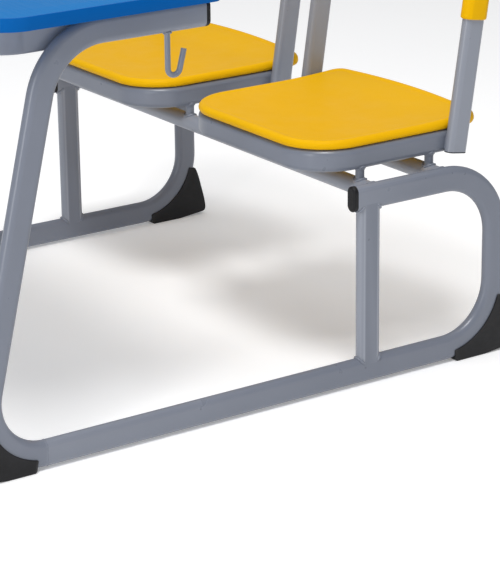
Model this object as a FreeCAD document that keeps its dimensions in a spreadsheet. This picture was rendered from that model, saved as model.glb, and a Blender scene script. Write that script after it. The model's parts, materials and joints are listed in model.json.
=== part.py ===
import FreeCAD, Part
import math
import os

import Sketcher

# Two-seat school desk with attached seats. Millimetres, +Z up, floor at Z = 0.
# X runs along the desk, the sitters face -Y, and the origin is under the middle of the unit.

DRIVING_SIZES = {
    # overall
    "unit_depth": 1120.0,
    "frame_spread": 1028.0,
    # flat-oval frame tube
    "tube_tall": 46.0,
    "tube_thick": 23.0,
    "tube_wall": 1.5,
    # desk top and its edge
    "top_width": 1100.0,
    "top_depth": 420.0,
    "top_height": 760.0,
    "top_thick": 22.5,
    "top_middle": -295.4,
    "front_corner": 65.0,
    "back_corner": 15.0,
    "band_thick": 3.0,
    "band_round": 1.6,
    # desk side frames
    "foot_bend_place": -424.4,
    "foot_bend_size": 100.0,
    "desk_lean": 13.5,
    "desk_bend_size": 120.0,
    "desk_rail_end": -101.5,
    # seat side frames
    "bottom_rail_level": 27.0,
    "seat_rail_level": 345.0,
    "seat_rail_front": 204.5,
    "front_leg_place": 233.0,
    "rear_leg_place": 517.5,
    "rear_bend_size": 115.0,
    # cross tubes
    "beam_across": 32.0,
    "beam_level": 349.6,
    "front_beam_place": 246.0,
    "rear_beam_place": 399.0,
    "stretcher_across": 22.0,
    "stretcher_level": 130.0,
    # seats
    "seat_pitch": 542.0,
    "ring_width": 424.0,
    "ring_depth": 385.0,
    "ring_front": 138.5,
    "ring_tall": 40.0,
    "ring_thick": 20.0,
    "ring_corner": 95.0,
    "ring_level": 403.5,
    "standoff_across": 16.0,
    "standoff_flare": 3.5,
    "seat_width": 420.0,
    "seat_depth": 387.0,
    "seat_middle": 330.5,
    "seat_front_corner": 96.0,
    "seat_rear_corner": 30.0,
    "seat_rear_bow": 1200.0,
    "seat_rim": 22.0,
    "seat_thick": 16.0,
    "seat_bottom": 424.0,
    "seat_skin": 5.0,
    "seat_round": 8.0,
    "boss_across": 14.0,
    "boss_drill": 16.0,
    "tab_long": 28.0,
    "tab_wide": 30.0,
    "tab_thick": 3.0,
    "tab_level": 409.0,
    "tab_row": 150.0,
    # backrests
    "post_tall": 43.0,
    "post_thick": 21.5,
    "post_foot_place": 441.6,
    "post_foot_level": 386.0,
    "post_lean": 8.8,
    "post_length": 420.0,
    "sleeve_start": 237.0,
    "sleeve_wall": 4.0,
    "sleeve_depth": 184.0,
    "sleeve_foot": 4.0,
    "sleeve_round": 10.0,
    "sleeve_clear": 3.0,
    "back_height": 230.0,
    "back_corner_size": 45.0,
    "back_bulge": 1013.0,
    "back_skin": 9.0,
    "back_middle": 14.0,
    "back_arch": 45.0,
    "arch_corner": 35.0,
    # book tray
    "tray_tall": 47.5,
    "tray_sheet": 2.0,
    "tray_bend": 4.0,
    "tray_flange": 18.0,
    "tray_depth": 390.0,
    "tray_back": -95.0,
    "tray_corner": 62.0,
    # bag hooks
    "hook_across": 9.5,
    "hook_place": -170.7,
    "hook_drop": 60.2,
    "hook_bend": 11.5,
    "hook_turn": 165.0,
    "hook_rise": 33.5,
    "hook_sunk": 6.0,
    # plastic caps and shoes
    "cap_thick": 9.0,
    "cap_round": 4.0,
    "plug_long": 14.0,
    "plug_gap": 0.2,
    "plug_flange": 2.0,
    "shoe_wall": 3.0,
    "shoe_lap": 16.5,
    "shoe_top": 104.0,
    "shoe_toe": 22.0,
    "shoe_heel_low": 7.0,
    "shoe_heel_high": 30.0,
    "shoe_round": 6.0,
    # fasteners
    "screw_head": 9.0,
    "screw_head_tall": 2.6,
    "screw_shank": 4.5,
    "seat_screw_long": 18.0,
    "top_screw_long": 14.0,
    "top_screw_hole": 13.0,
    "bolt_head": 12.0,
    "bolt_head_tall": 3.5,
    "bolt_shank": 6.0,
    "tray_bolt_long": 12.0,
    "hole_gap": 0.1,
}

document = FreeCAD.newDocument("SchoolDeskUnit")
sheet = document.addObject("Spreadsheet::Sheet", "Sizes")
sub_parts = []


def fill_sheet():
    """Write every driving size into the sheet, one named cell each."""
    for row, (name, number) in enumerate(DRIVING_SIZES.items(), start=1):
        sheet.set(f"A{row}", name)
        sheet.set(f"B{row}", str(number))
        sheet.setAlias(f"B{row}", name)
    document.recompute()


class Size:
    """A length or angle that carries both its number and the sheet formula that gives it."""

    def __init__(self, number, formula):
        self.number = number
        self.formula = formula

    def __add__(self, other):
        other = as_size(other)
        return Size(self.number + other.number, f"({self.formula} + {other.formula})")

    def __sub__(self, other):
        other = as_size(other)
        return Size(self.number - other.number, f"({self.formula} - {other.formula})")

    def __mul__(self, other):
        other = as_size(other)
        return Size(self.number * other.number, f"({self.formula} * {other.formula})")

    def __truediv__(self, other):
        other = as_size(other)
        return Size(self.number / other.number, f"({self.formula} / {other.formula})")

    def __neg__(self):
        return Size(-self.number, f"(0 - {self.formula})")


def as_size(value):
    if isinstance(value, Size):
        return value
    return Size(float(value), f"{float(value):.6f}")


def size(name):
    """The driving size of that name."""
    return Size(DRIVING_SIZES[name], f"{sheet.Name}.{name}")


def sine(angle):
    return Size(math.sin(math.radians(angle.number)), f"sin({angle.formula})")


def cosine(angle):
    return Size(math.cos(math.radians(angle.number)), f"cos({angle.formula})")


def root(value):
    return Size(math.sqrt(value.number), f"sqrt({value.formula})")


NOTHING = as_size(0)
QUARTER = as_size(90)
HALF = as_size(180)


# ---------------------------------------------------------------- bodies and sketches

def new_body(label):
    body = document.addObject("PartDesign::Body", label)
    body.Label = label
    sub_parts.append(body)
    return body


def origin_plane(body, role):
    for feature in body.Origin.OriginFeatures:
        if feature.Role == role:
            return feature
    raise ValueError(f"no origin plane {role}")


def put(body, across, along, up):
    """Place a body's own origin in the unit's frame."""
    for letter, value in zip("xyz", (across, along, up)):
        body.setExpression(f"Placement.Base.{letter}", as_size(value).formula)


def tilt_back(body, angle):
    """Lean a body's own Z axis towards +Y."""
    lean = FreeCAD.Rotation(FreeCAD.Vector(-1, 0, 0), angle.number)
    body.Placement = FreeCAD.Placement(FreeCAD.Vector(), lean)
    body.setExpression("Placement.Rotation.Angle", angle.formula)


def turn_round(body):
    """Turn a body half way round its own Z axis."""
    body.Placement = FreeCAD.Placement(FreeCAD.Vector(), FreeCAD.Rotation(FreeCAD.Vector(0, 0, 1), 180))


def new_sketch(body, name, plane, lift=None):
    """A sketch on one of the body's origin planes, lifted along that plane's normal."""
    sketch = body.newObject("Sketcher::SketchObject", f"{body.Label}_{name}")
    sketch.AttachmentSupport = [(origin_plane(body, plane), "")]
    sketch.MapMode = "FlatFace"
    if lift is not None:
        sketch.AttachmentOffset = FreeCAD.Placement(FreeCAD.Vector(0, 0, lift.number), FreeCAD.Rotation())
        sketch.setExpression("AttachmentOffset.Base.z", lift.formula)
    return sketch


def dimension(sketch, kind, places, value):
    index = sketch.addConstraint(Sketcher.Constraint(kind, *places, value.number))
    name = f"size{index}"
    sketch.renameConstraint(index, name)
    sketch.setExpression(f"Constraints.{name}", value.formula)


def angle_dimension(sketch, geometry, angle):
    index = sketch.addConstraint(Sketcher.Constraint("Angle", geometry, math.radians(angle.number)))
    name = f"angle{index}"
    sketch.renameConstraint(index, name)
    sketch.setExpression(f"Constraints.{name}", f"{angle.formula} * 1 deg")


def pin_point(sketch, geometry, point, across, up):
    """Hold a point at the given distances from the sketch's origin, where None leaves one free."""
    for kind, axis, value in (("DistanceX", -2, across), ("DistanceY", -1, up)):
        if value is None:
            continue
        if abs(value.number) < 1e-9:
            sketch.addConstraint(Sketcher.Constraint("PointOnObject", geometry, point, axis))
        elif value.number > 0:
            dimension(sketch, kind, (-1, 1, geometry, point), value)
        else:
            dimension(sketch, kind, (geometry, point, -1, 1), -value)


def vector(across, up):
    return FreeCAD.Vector(across, up, 0)


def draw_disc(sketch, radius, across=NOTHING, up=NOTHING):
    centre = vector(across.number, up.number)
    geometry = sketch.addGeometry(Part.Circle(centre, FreeCAD.Vector(0, 0, 1), radius.number))
    dimension(sketch, "Radius", (geometry,), radius)
    pin_point(sketch, geometry, 3, across, up)


def draw_wrap(sketch, corners):
    """A closed outline pulled tight round corner discs, each (across, up, radius), anticlockwise."""
    headings = []
    for here, there in zip(corners, corners[1:] + corners[:1]):
        step_across = there[0].number - here[0].number
        step_up = there[1].number - here[1].number
        slant = math.asin((here[2].number - there[2].number) / math.hypot(step_across, step_up))
        headings.append(math.atan2(step_up, step_across) - slant)
    arcs = []
    for index, (across, up, radius) in enumerate(corners):
        begin = headings[index - 1] - math.pi / 2
        end = headings[index] - math.pi / 2
        while end <= begin:
            end += 2 * math.pi
        circle = Part.Circle(vector(across.number, up.number), FreeCAD.Vector(0, 0, 1), radius.number)
        arcs.append(sketch.addGeometry(Part.ArcOfCircle(circle, begin, end)))
    for index, arc in enumerate(arcs):
        following = arcs[(index + 1) % len(arcs)]
        start = sketch.getPoint(arc, 2)
        stop = sketch.getPoint(following, 1)
        line = sketch.addGeometry(Part.LineSegment(start, stop))
        sketch.addConstraint(Sketcher.Constraint("Tangent", arc, 2, line, 1))
        sketch.addConstraint(Sketcher.Constraint("Tangent", line, 2, following, 1))
    for arc, (across, up, radius) in zip(arcs, corners):
        pin_point(sketch, arc, 3, across, up)
        dimension(sketch, "Radius", (arc,), radius)


def draw_oval(sketch, thick, tall, across=NOTHING, up=NOTHING):
    """A flat oval: straight sides, round ends, long way up."""
    radius = thick / 2
    reach = tall / 2 - radius
    draw_wrap(sketch, [(across, up - reach, radius), (across, up + reach, radius)])


def draw_rounded(sketch, left, right, low, high, radius):
    """A rectangle whose four corners have one radius."""
    draw_wrap(sketch, [
        (left + radius, low + radius, radius),
        (right - radius, low + radius, radius),
        (right - radius, high - radius, radius),
        (left + radius, high - radius, radius),
    ])


def draw_polygon(sketch, points):
    """A closed outline of straight lines through (across, up) points."""
    count = len(points)
    for index in range(count):
        here = points[index]
        there = points[(index + 1) % count]
        sketch.addGeometry(Part.LineSegment(vector(here[0].number, here[1].number),
                                            vector(there[0].number, there[1].number)))
    for index, (across, up) in enumerate(points):
        sketch.addConstraint(Sketcher.Constraint("Coincident", (index - 1) % count, 2, index, 1))
        pin_point(sketch, index, 1, across, up)


def draw_route(sketch, heading, steps):
    """A smooth open route from the sketch's origin: ("run", length) or ("left" / "right", radius, angle)."""
    here = FreeCAD.Vector()
    facing = math.radians(heading)
    joint = None
    for step in steps:
        if step[0] == "run":
            length = step[1]
            there = here + vector(math.cos(facing), math.sin(facing)) * length.number
            geometry = sketch.addGeometry(Part.LineSegment(here, there))
            entry, leave = 1, 2
        else:
            radius, turn = step[1], step[2]
            swing = math.radians(turn.number)
            hand = 1 if step[0] == "left" else -1
            centre = here + vector(-math.sin(facing), math.cos(facing)) * (hand * radius.number)
            first = facing - hand * math.pi / 2
            circle = Part.Circle(centre, FreeCAD.Vector(0, 0, 1), radius.number)
            if hand > 0:
                arc = Part.ArcOfCircle(circle, first, first + swing)
                entry, leave = 1, 2
            else:
                arc = Part.ArcOfCircle(circle, first - swing, first)
                entry, leave = 2, 1
            geometry = sketch.addGeometry(arc)
            facing += hand * swing
        there = sketch.getPoint(geometry, leave)
        if joint is None:
            sketch.addConstraint(Sketcher.Constraint("Coincident", geometry, entry, -1, 1))
            start_direction(sketch, geometry, step[0], heading)
        else:
            sketch.addConstraint(Sketcher.Constraint("Tangent", joint[0], joint[1], geometry, entry))
        if step[0] == "run":
            dimension(sketch, "Distance", (geometry,), step[1])
        else:
            dimension(sketch, "Radius", (geometry,), step[1])
            angle_dimension(sketch, geometry, step[2])
        joint = (geometry, leave)
        here = there


def start_direction(sketch, geometry, kind, heading):
    """Hold a route's first piece along its heading, which is along one of the sketch's axes."""
    level = heading % 180 == 0
    if kind == "run":
        sketch.addConstraint(Sketcher.Constraint("Horizontal" if level else "Vertical", geometry))
    else:
        axis = -2 if level else -1
        sketch.addConstraint(Sketcher.Constraint("PointOnObject", geometry, 3, axis))


def add_pad(body, sketch, length, both_ways=False, backwards=False):
    pad = body.newObject("PartDesign::Pad", f"{sketch.Name}_pad")
    pad.Profile = sketch
    pad.Length = length.number
    pad.setExpression("Length", length.formula)
    pad.Midplane = both_ways
    pad.Reversed = backwards
    body.Tip = pad
    document.recompute()
    return pad


def cut_pocket(body, sketch, length=None, both_ways=False, backwards=False):
    """Cut a sketch out of the body, right through when no length is given, and prove that it cut."""
    before = body.Shape.Volume
    pocket = body.newObject("PartDesign::Pocket", f"{sketch.Name}_pocket")
    pocket.Profile = sketch
    if length is None:
        pocket.Type = "ThroughAll"
    else:
        pocket.Length = length.number
        pocket.setExpression("Length", length.formula)
    pocket.Midplane = both_ways
    pocket.Reversed = backwards
    body.Tip = pocket
    document.recompute()
    if body.Shape.Volume > before - 1e-3:
        raise ValueError(f"{pocket.Name} cuts nothing")
    return pocket


def sweep_along(body, profile, route):
    pipe = body.newObject("PartDesign::AdditivePipe", f"{profile.Name}_pipe")
    pipe.Profile = (profile, [""])
    pipe.Spine = (route, [""])
    body.Tip = pipe
    document.recompute()
    return pipe


def round_edges(body, radius, chosen):
    """Round the edges of the body's latest shape that the test picks out."""
    base = body.Tip
    names = [f"Edge{number}" for number, edge in enumerate(base.Shape.Edges, start=1) if chosen(edge)]
    if not names:
        raise ValueError(f"no edges to round on {body.Label}")
    fillet = body.newObject("PartDesign::Fillet", f"{base.Name}_fillet")
    fillet.Base = (base, names)
    fillet.Radius = radius.number
    fillet.setExpression("Radius", radius.formula)
    body.Tip = fillet
    document.recompute()
    return fillet


def lies_at(level, letter="z"):
    """A test for edges that lie wholly in one plane across the given axis of the body's frame."""
    def test(edge):
        box = edge.BoundBox
        low = getattr(box, f"{letter.upper()}Min")
        high = getattr(box, f"{letter.upper()}Max")
        return abs(low - level.number) < 1e-4 and abs(high - level.number) < 1e-4
    return test


def repeat_grid(body, feature, sketch, across=None, up=None):
    """Repeat a feature along the sketch's two axes, each given as (spacing, count)."""
    pattern = body.newObject("PartDesign::LinearPattern", f"{feature.Name}_grid")
    pattern.Originals = [feature]
    pattern.Direction = (sketch, ["H_Axis"])
    spacing, count = across or up
    if across is None:
        pattern.Direction = (sketch, ["V_Axis"])
    pattern.Length = (spacing * (count - 1)).number
    pattern.setExpression("Length", (spacing * (count - 1)).formula)
    pattern.Occurrences = count
    if across is not None and up is not None:
        pattern.Direction2 = (sketch, ["V_Axis"])
        pattern.Length2 = (up[0] * (up[1] - 1)).number
        pattern.setExpression("Length2", (up[0] * (up[1] - 1)).formula)
        pattern.Occurrences2 = up[1]
    body.Tip = pattern
    document.recompute()
    return pattern


# ---------------------------------------------------------------- sizes worked out from the sheet

TUBE_TALL = size("tube_tall")
TUBE_THICK = size("tube_thick")
TUBE_WALL = size("tube_wall")
FRAME_PLACE = size("frame_spread") / 2
FRAME_INSIDE = FRAME_PLACE - TUBE_THICK / 2
DESK_RAIL_LEVEL = size("top_height") - size("top_thick") - TUBE_TALL / 2
SEAT_PLACE = size("seat_pitch") / 2
RING_SIDE = (size("ring_width") - size("ring_thick")) / 2
POST_TALL = size("post_tall")
POST_THICK = size("post_thick")
POST_PLACE = (size("ring_width") + POST_THICK) / 2
PANEL_REACH = POST_PLACE - POST_THICK / 2 - size("sleeve_wall") - size("sleeve_clear")
TRAY_FLOOR = size("top_height") - size("top_thick") - size("tray_tall")
TAB_REACH = size("ring_width") / 2 - size("ring_thick")
TAB_PLACE = TAB_REACH - size("tab_long") / 2
TRAY_BOLT_LEVEL = size("tray_tall") / 2
TRAY_BOLT_FIRST = as_size(-275)
TRAY_BOLT_STEP = as_size(140)
TOP_SCREW_FIRST = as_size(-400)
TOP_SCREW_STEP = as_size(135)
BACK_SCREW_FIRST = as_size(40)
BACK_SCREW_STEP = as_size(100)
PAST_EDGE = as_size(20)

SIDES = {"left": -1, "right": 1}


def draw_tube_section(sketch, thick=TUBE_THICK, tall=TUBE_TALL):
    """A flat-oval tube's section, outside and inside."""
    draw_oval(sketch, thick, tall)
    draw_oval(sketch, thick - TUBE_WALL * 2, tall - TUBE_WALL * 2)


# ---------------------------------------------------------------- desk top and tray

def draw_top_outline(sketch, inset):
    half = size("top_width") / 2 - inset
    low = -size("top_depth") / 2 + inset
    high = size("top_depth") / 2 - inset
    front = size("front_corner") - inset
    back = size("back_corner") - inset
    draw_wrap(sketch, [
        (front - half, low + front, front),
        (half - front, low + front, front),
        (half - back, high - back, back),
        (back - half, high - back, back),
    ])


def make_desktop_board():
    body = new_body("desktop_board")
    outline = new_sketch(body, "outline", "XY_Plane")
    draw_top_outline(outline, size("band_thick"))
    add_pad(body, outline, size("top_thick"))
    drill = new_sketch(body, "screw_hole", "XY_Plane")
    hole_radius = size("screw_shank") / 2 + size("hole_gap")
    row = tray_screw_row()
    draw_disc(drill, hole_radius, -row, TOP_SCREW_FIRST - size("top_middle"))
    hole = cut_pocket(body, drill, size("top_screw_hole"), backwards=True)
    repeat_grid(body, hole, drill, (row * 2, 2), (TOP_SCREW_STEP, 3))
    put(body, NOTHING, size("top_middle"), size("top_height") - size("top_thick"))


def make_desktop_edge_band():
    body = new_body("desktop_edge_band")
    outline = new_sketch(body, "outline", "XY_Plane")
    draw_top_outline(outline, NOTHING)
    draw_top_outline(outline, size("band_thick"))
    add_pad(body, outline, size("top_thick"))
    half_width = size("top_width").number / 2 - size("band_thick").number
    half_depth = size("top_depth").number / 2 - size("band_thick").number

    def outer_rim(edge):
        box = edge.BoundBox
        flat = abs(box.ZMax - box.ZMin) < 1e-4
        wide = max(abs(box.XMin), abs(box.XMax)) > half_width + 0.5
        deep = max(abs(box.YMin), abs(box.YMax)) > half_depth + 0.5
        return flat and (wide or deep)

    round_edges(body, size("band_round"), outer_rim)
    put(body, NOTHING, size("top_middle"), size("top_height") - size("top_thick"))


def tray_screw_row():
    return FRAME_INSIDE - size("tray_sheet") - size("tray_flange") / 2


def draw_tray_outline(sketch, inset, past_back):
    """The tray's outline, open or flush at its back, with round front corners."""
    half = FRAME_INSIDE - inset
    low = size("tray_back") - size("tray_depth") + inset
    high = size("tray_back") + past_back
    front = size("tray_corner") - inset
    back = as_size(1)
    draw_wrap(sketch, [
        (front - half, low + front, front),
        (half - front, low + front, front),
        (half - back, high - back, back),
        (back - half, high - back, back),
    ])


def make_book_tray():
    body = new_body("book_tray")
    tall = size("tray_tall")
    sheet_thick = size("tray_sheet")
    outline = new_sketch(body, "outline", "XY_Plane")
    draw_tray_outline(outline, NOTHING, NOTHING)
    add_pad(body, outline, tall)
    round_edges(body, size("tray_bend"), lies_at(NOTHING))
    hollow = new_sketch(body, "hollow", "XY_Plane", tall - sheet_thick)
    draw_tray_outline(hollow, sheet_thick, PAST_EDGE)
    cut_pocket(body, hollow, tall - sheet_thick * 2)
    mouth = new_sketch(body, "mouth", "XY_Plane", tall)
    draw_tray_outline(mouth, sheet_thick + size("tray_flange"), PAST_EDGE)
    cut_pocket(body, mouth, sheet_thick)
    flange_drill = new_sketch(body, "flange_hole", "XY_Plane", tall)
    row = tray_screw_row()
    draw_disc(flange_drill, size("screw_shank") / 2 + size("hole_gap"), -row, TOP_SCREW_FIRST)
    hole = cut_pocket(body, flange_drill, sheet_thick)
    repeat_grid(body, hole, flange_drill, (row * 2, 2), (TOP_SCREW_STEP, 3))
    wall_drill = new_sketch(body, "wall_hole", "YZ_Plane")
    draw_disc(wall_drill, size("bolt_shank") / 2 + size("hole_gap"), TRAY_BOLT_FIRST, TRAY_BOLT_LEVEL)
    draw_disc(wall_drill, size("bolt_shank") / 2 + size("hole_gap"), TRAY_BOLT_FIRST + TRAY_BOLT_STEP,
              TRAY_BOLT_LEVEL)
    cut_pocket(body, wall_drill, both_ways=True)
    put(body, NOTHING, NOTHING, TRAY_FLOOR)


# ---------------------------------------------------------------- side frames

def make_seat_frame(side):
    """Seat rail, rear leg and bottom rail: one bent tube."""
    body = new_body(f"seat_frame_{side}")
    radius = size("rear_bend_size")
    section = new_sketch(body, "section", "XZ_Plane")
    draw_tube_section(section)
    route = new_sketch(body, "route", "YZ_Plane")
    bend_start = size("rear_leg_place") - radius
    draw_route(route, 0, [
        ("run", bend_start - size("seat_rail_front")),
        ("right", radius, QUARTER),
        ("run", size("seat_rail_level") - size("bottom_rail_level") - radius * 2),
        ("right", radius, QUARTER),
        ("run", bend_start - size("foot_bend_place")),
    ])
    sweep_along(body, section, route)
    put(body, FRAME_PLACE * SIDES[side], size("seat_rail_front"), size("seat_rail_level"))


def make_desk_frame(side):
    """Foot bend, leaning leg, top bend and desk rail: one bent tube, butt-welded to the bottom rail."""
    body = new_body(f"desk_frame_{side}")
    foot = size("foot_bend_size")
    top = size("desk_bend_size")
    climb = QUARTER - size("desk_lean")
    foot_turn = HALF - climb
    rise = DESK_RAIL_LEVEL - size("bottom_rail_level")
    straight_rise = rise - foot * (as_size(1) - cosine(foot_turn)) - top * (as_size(1) - cosine(climb))
    leg = straight_rise / sine(climb)
    rail_begin = size("foot_bend_place") - foot * sine(foot_turn) + leg * cosine(climb) + top * sine(climb)
    section = new_sketch(body, "section", "XZ_Plane")
    draw_tube_section(section)
    route = new_sketch(body, "route", "YZ_Plane")
    draw_route(route, 180, [
        ("right", foot, foot_turn),
        ("run", leg),
        ("right", top, climb),
        ("run", size("desk_rail_end") - rail_begin),
    ])
    sweep_along(body, section, route)
    drill = new_sketch(body, "bolt_hole", "YZ_Plane")
    bolt_up = TRAY_FLOOR + TRAY_BOLT_LEVEL - size("bottom_rail_level")
    for step in (NOTHING, TRAY_BOLT_STEP):
        draw_disc(drill, size("bolt_shank") / 2 + size("hole_gap"),
                  TRAY_BOLT_FIRST + step - size("foot_bend_place"), bolt_up)
    cut_pocket(body, drill, TUBE_THICK, backwards=side == "left")
    put(body, FRAME_PLACE * SIDES[side], size("foot_bend_place"), size("bottom_rail_level"))


def make_front_leg(side):
    """Upright tube between the two rails, its ends shaped to the rails' round edges."""
    body = new_body(f"front_leg_{side}")
    height = size("seat_rail_level") - size("bottom_rail_level")
    section = new_sketch(body, "section", "XY_Plane")
    draw_tube_section(section)
    add_pad(body, section, height)
    rails = new_sketch(body, "rails", "XZ_Plane")
    draw_oval(rails, TUBE_THICK, TUBE_TALL)
    draw_oval(rails, TUBE_THICK, TUBE_TALL, NOTHING, height)
    cut_pocket(body, rails, both_ways=True)
    put(body, FRAME_PLACE * SIDES[side], size("front_leg_place"), size("bottom_rail_level"))


# ---------------------------------------------------------------- cross tubes

def make_seat_beam(label, place):
    """Round tube between the two seat rails, its ends shaped to the rails."""
    body = new_body(label)
    radius = size("beam_across") / 2
    section = new_sketch(body, "section", "YZ_Plane")
    draw_disc(section, radius)
    draw_disc(section, radius - TUBE_WALL)
    add_pad(body, section, size("frame_spread"), both_ways=True)
    rails = new_sketch(body, "rails", "XZ_Plane")
    drop = size("seat_rail_level") - size("beam_level")
    draw_oval(rails, TUBE_THICK, TUBE_TALL, -FRAME_PLACE, drop)
    draw_oval(rails, TUBE_THICK, TUBE_TALL, FRAME_PLACE, drop)
    cut_pocket(body, rails, both_ways=True)
    put(body, NOTHING, size(place), size("beam_level"))


def leg_place_at(level):
    """Where the leaning desk leg's axis stands at a level."""
    foot = size("foot_bend_size")
    foot_turn = QUARTER + size("desk_lean")
    bend_end = size("foot_bend_place") - foot * sine(foot_turn)
    bend_top = size("bottom_rail_level") + foot * (as_size(1) - cosine(foot_turn))
    return bend_end + (level - bend_top) * sine(size("desk_lean")) / cosine(size("desk_lean"))


def make_foot_stretcher():
    body = new_body("foot_stretcher")
    radius = size("stretcher_across") / 2
    section = new_sketch(body, "section", "YZ_Plane")
    draw_disc(section, radius)
    draw_disc(section, radius - TUBE_WALL)
    add_pad(body, section, FRAME_INSIDE * 2, both_ways=True)
    put(body, NOTHING, leg_place_at(size("stretcher_level")), size("stretcher_level"))


# ---------------------------------------------------------------- seats

def seat_centre(side):
    return SEAT_PLACE * SIDES[side]


def make_standoffs(side):
    """Four short posts that carry a seat ring on the beams, wider where they are welded."""
    body = new_body(f"seat_standoffs_{side}")
    radius = size("standoff_across") / 2
    beam_weld = radius + size("standoff_flare")
    ring_weld = size("ring_thick") / 2 - 0.8
    beam_top = size("beam_across") / 2
    ring_bottom = size("ring_level") - size("ring_tall") / 2 - size("beam_level")
    profile = new_sketch(body, "profile", "XZ_Plane")
    draw_polygon(profile, [
        (NOTHING, beam_top - 8),
        (beam_weld, beam_top - 8),
        (beam_weld, beam_top - 3.5),
        (radius, beam_top + 2),
        (radius, ring_bottom - 4),
        (ring_weld, ring_bottom),
        (ring_weld, ring_bottom + 3.5),
        (NOTHING, ring_bottom + 3.5),
    ])
    turned = body.newObject("PartDesign::Revolution", f"{profile.Name}_turned")
    turned.Profile = profile
    turned.ReferenceAxis = (profile, ["V_Axis"])
    turned.Angle = 360
    body.Tip = turned
    document.recompute()
    beam = new_sketch(body, "beam", "YZ_Plane")
    draw_disc(beam, size("beam_across") / 2)
    cut_pocket(body, beam, both_ways=True)
    ring = new_sketch(body, "ring", "XZ_Plane")
    draw_oval(ring, size("ring_thick"), size("ring_tall"), NOTHING, size("ring_level") - size("beam_level"))
    cut_pocket(body, ring, both_ways=True)
    beam_step = size("rear_beam_place") - size("front_beam_place")
    repeat_whole(body, "spread", "XY_Plane", (RING_SIDE * 2, 2), (beam_step, 2))
    put(body, seat_centre(side) - RING_SIDE, size("front_beam_place"), size("beam_level"))


def make_seat_ring(side):
    """The oval tube hoop under a seat: half of it is swept, the other half mirrored."""
    body = new_body(f"seat_ring_{side}")
    thick = size("ring_thick")
    radius = size("ring_corner") - thick / 2
    section = new_sketch(body, "section", "YZ_Plane")
    draw_tube_section(section, thick, size("ring_tall"))
    route = new_sketch(body, "route", "XY_Plane")
    draw_route(route, 0, [
        ("run", RING_SIDE - radius),
        ("right", radius, QUARTER),
        ("run", size("ring_depth") - thick - radius * 2),
        ("right", radius, QUARTER),
        ("run", RING_SIDE - radius),
    ])
    half_ring = sweep_along(body, section, route)
    mirrored = body.newObject("PartDesign::Mirrored", f"{body.Label}_mirrored")
    mirrored.Originals = [half_ring]
    mirrored.MirrorPlane = (origin_plane(body, "YZ_Plane"), [""])
    body.Tip = mirrored
    document.recompute()
    put(body, seat_centre(side), size("ring_front") + size("ring_depth") - thick / 2, size("ring_level"))


def make_seat_tabs(side):
    """Four small plates inside a seat ring that take the seat's screws."""
    body = new_body(f"seat_tabs_{side}")
    long = size("tab_long")
    wide = size("tab_wide")
    plate = new_sketch(body, "plate", "XY_Plane")
    draw_polygon(plate, [
        (-long / 2, -wide / 2),
        (long / 2, -wide / 2),
        (long / 2, wide / 2),
        (-long / 2, wide / 2),
    ])
    draw_disc(plate, size("screw_shank") / 2 + size("hole_gap"))
    pad = add_pad(body, plate, size("tab_thick"))
    repeat_grid(body, pad, plate, (TAB_PLACE * 2, 2), (size("tab_row"), 2))
    put(body, seat_centre(side) - TAB_PLACE, size("seat_middle") - size("tab_row") / 2, size("tab_level"))


def draw_seat_outline(sketch, inset):
    """Wide round corners at the front, and a bowed rear edge between two tight corners."""
    half = size("seat_width") / 2 - inset
    deep = size("seat_depth") / 2 - inset
    front = size("seat_front_corner") - inset
    rear = size("seat_rear_corner") - inset
    bow = size("seat_rear_bow") - inset
    bow_up = deep - bow
    rear_up = bow_up + root((bow - rear) * (bow - rear) - (half - rear) * (half - rear))
    sweep = math.atan2(rear_up.number - bow_up.number, half.number - rear.number)
    corners = [
        (front - half, front - deep, front, math.pi, math.pi * 1.5),
        (half - front, front - deep, front, math.pi * 1.5, math.pi * 2),
        (half - rear, rear_up, rear, 0, sweep),
        (NOTHING, bow_up, bow, sweep, math.pi - sweep),
        (rear - half, rear_up, rear, math.pi - sweep, math.pi),
    ]
    arcs = []
    for across, up, radius, begin, end in corners:
        circle = Part.Circle(vector(across.number, up.number), FreeCAD.Vector(0, 0, 1), radius.number)
        arcs.append(sketch.addGeometry(Part.ArcOfCircle(circle, begin, end)))
    front_left, front_right, rear_right, rear_bow, rear_left = arcs
    for arc, following in ((front_left, front_right), (front_right, rear_right), (rear_left, front_left)):
        line = sketch.addGeometry(Part.LineSegment(sketch.getPoint(arc, 2), sketch.getPoint(following, 1)))
        sketch.addConstraint(Sketcher.Constraint("Tangent", arc, 2, line, 1))
        sketch.addConstraint(Sketcher.Constraint("Tangent", line, 2, following, 1))
    for arc, (across, up, radius, begin, end) in zip(arcs, corners):
        tangent_to_bow = arc in (rear_right, rear_left)
        pin_point(sketch, arc, 3, across, None if tangent_to_bow else up)
        dimension(sketch, "Radius", (arc,), radius)
    sketch.addConstraint(Sketcher.Constraint("Tangent", rear_right, 2, rear_bow, 1))
    sketch.addConstraint(Sketcher.Constraint("Tangent", rear_bow, 2, rear_left, 1))


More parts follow.
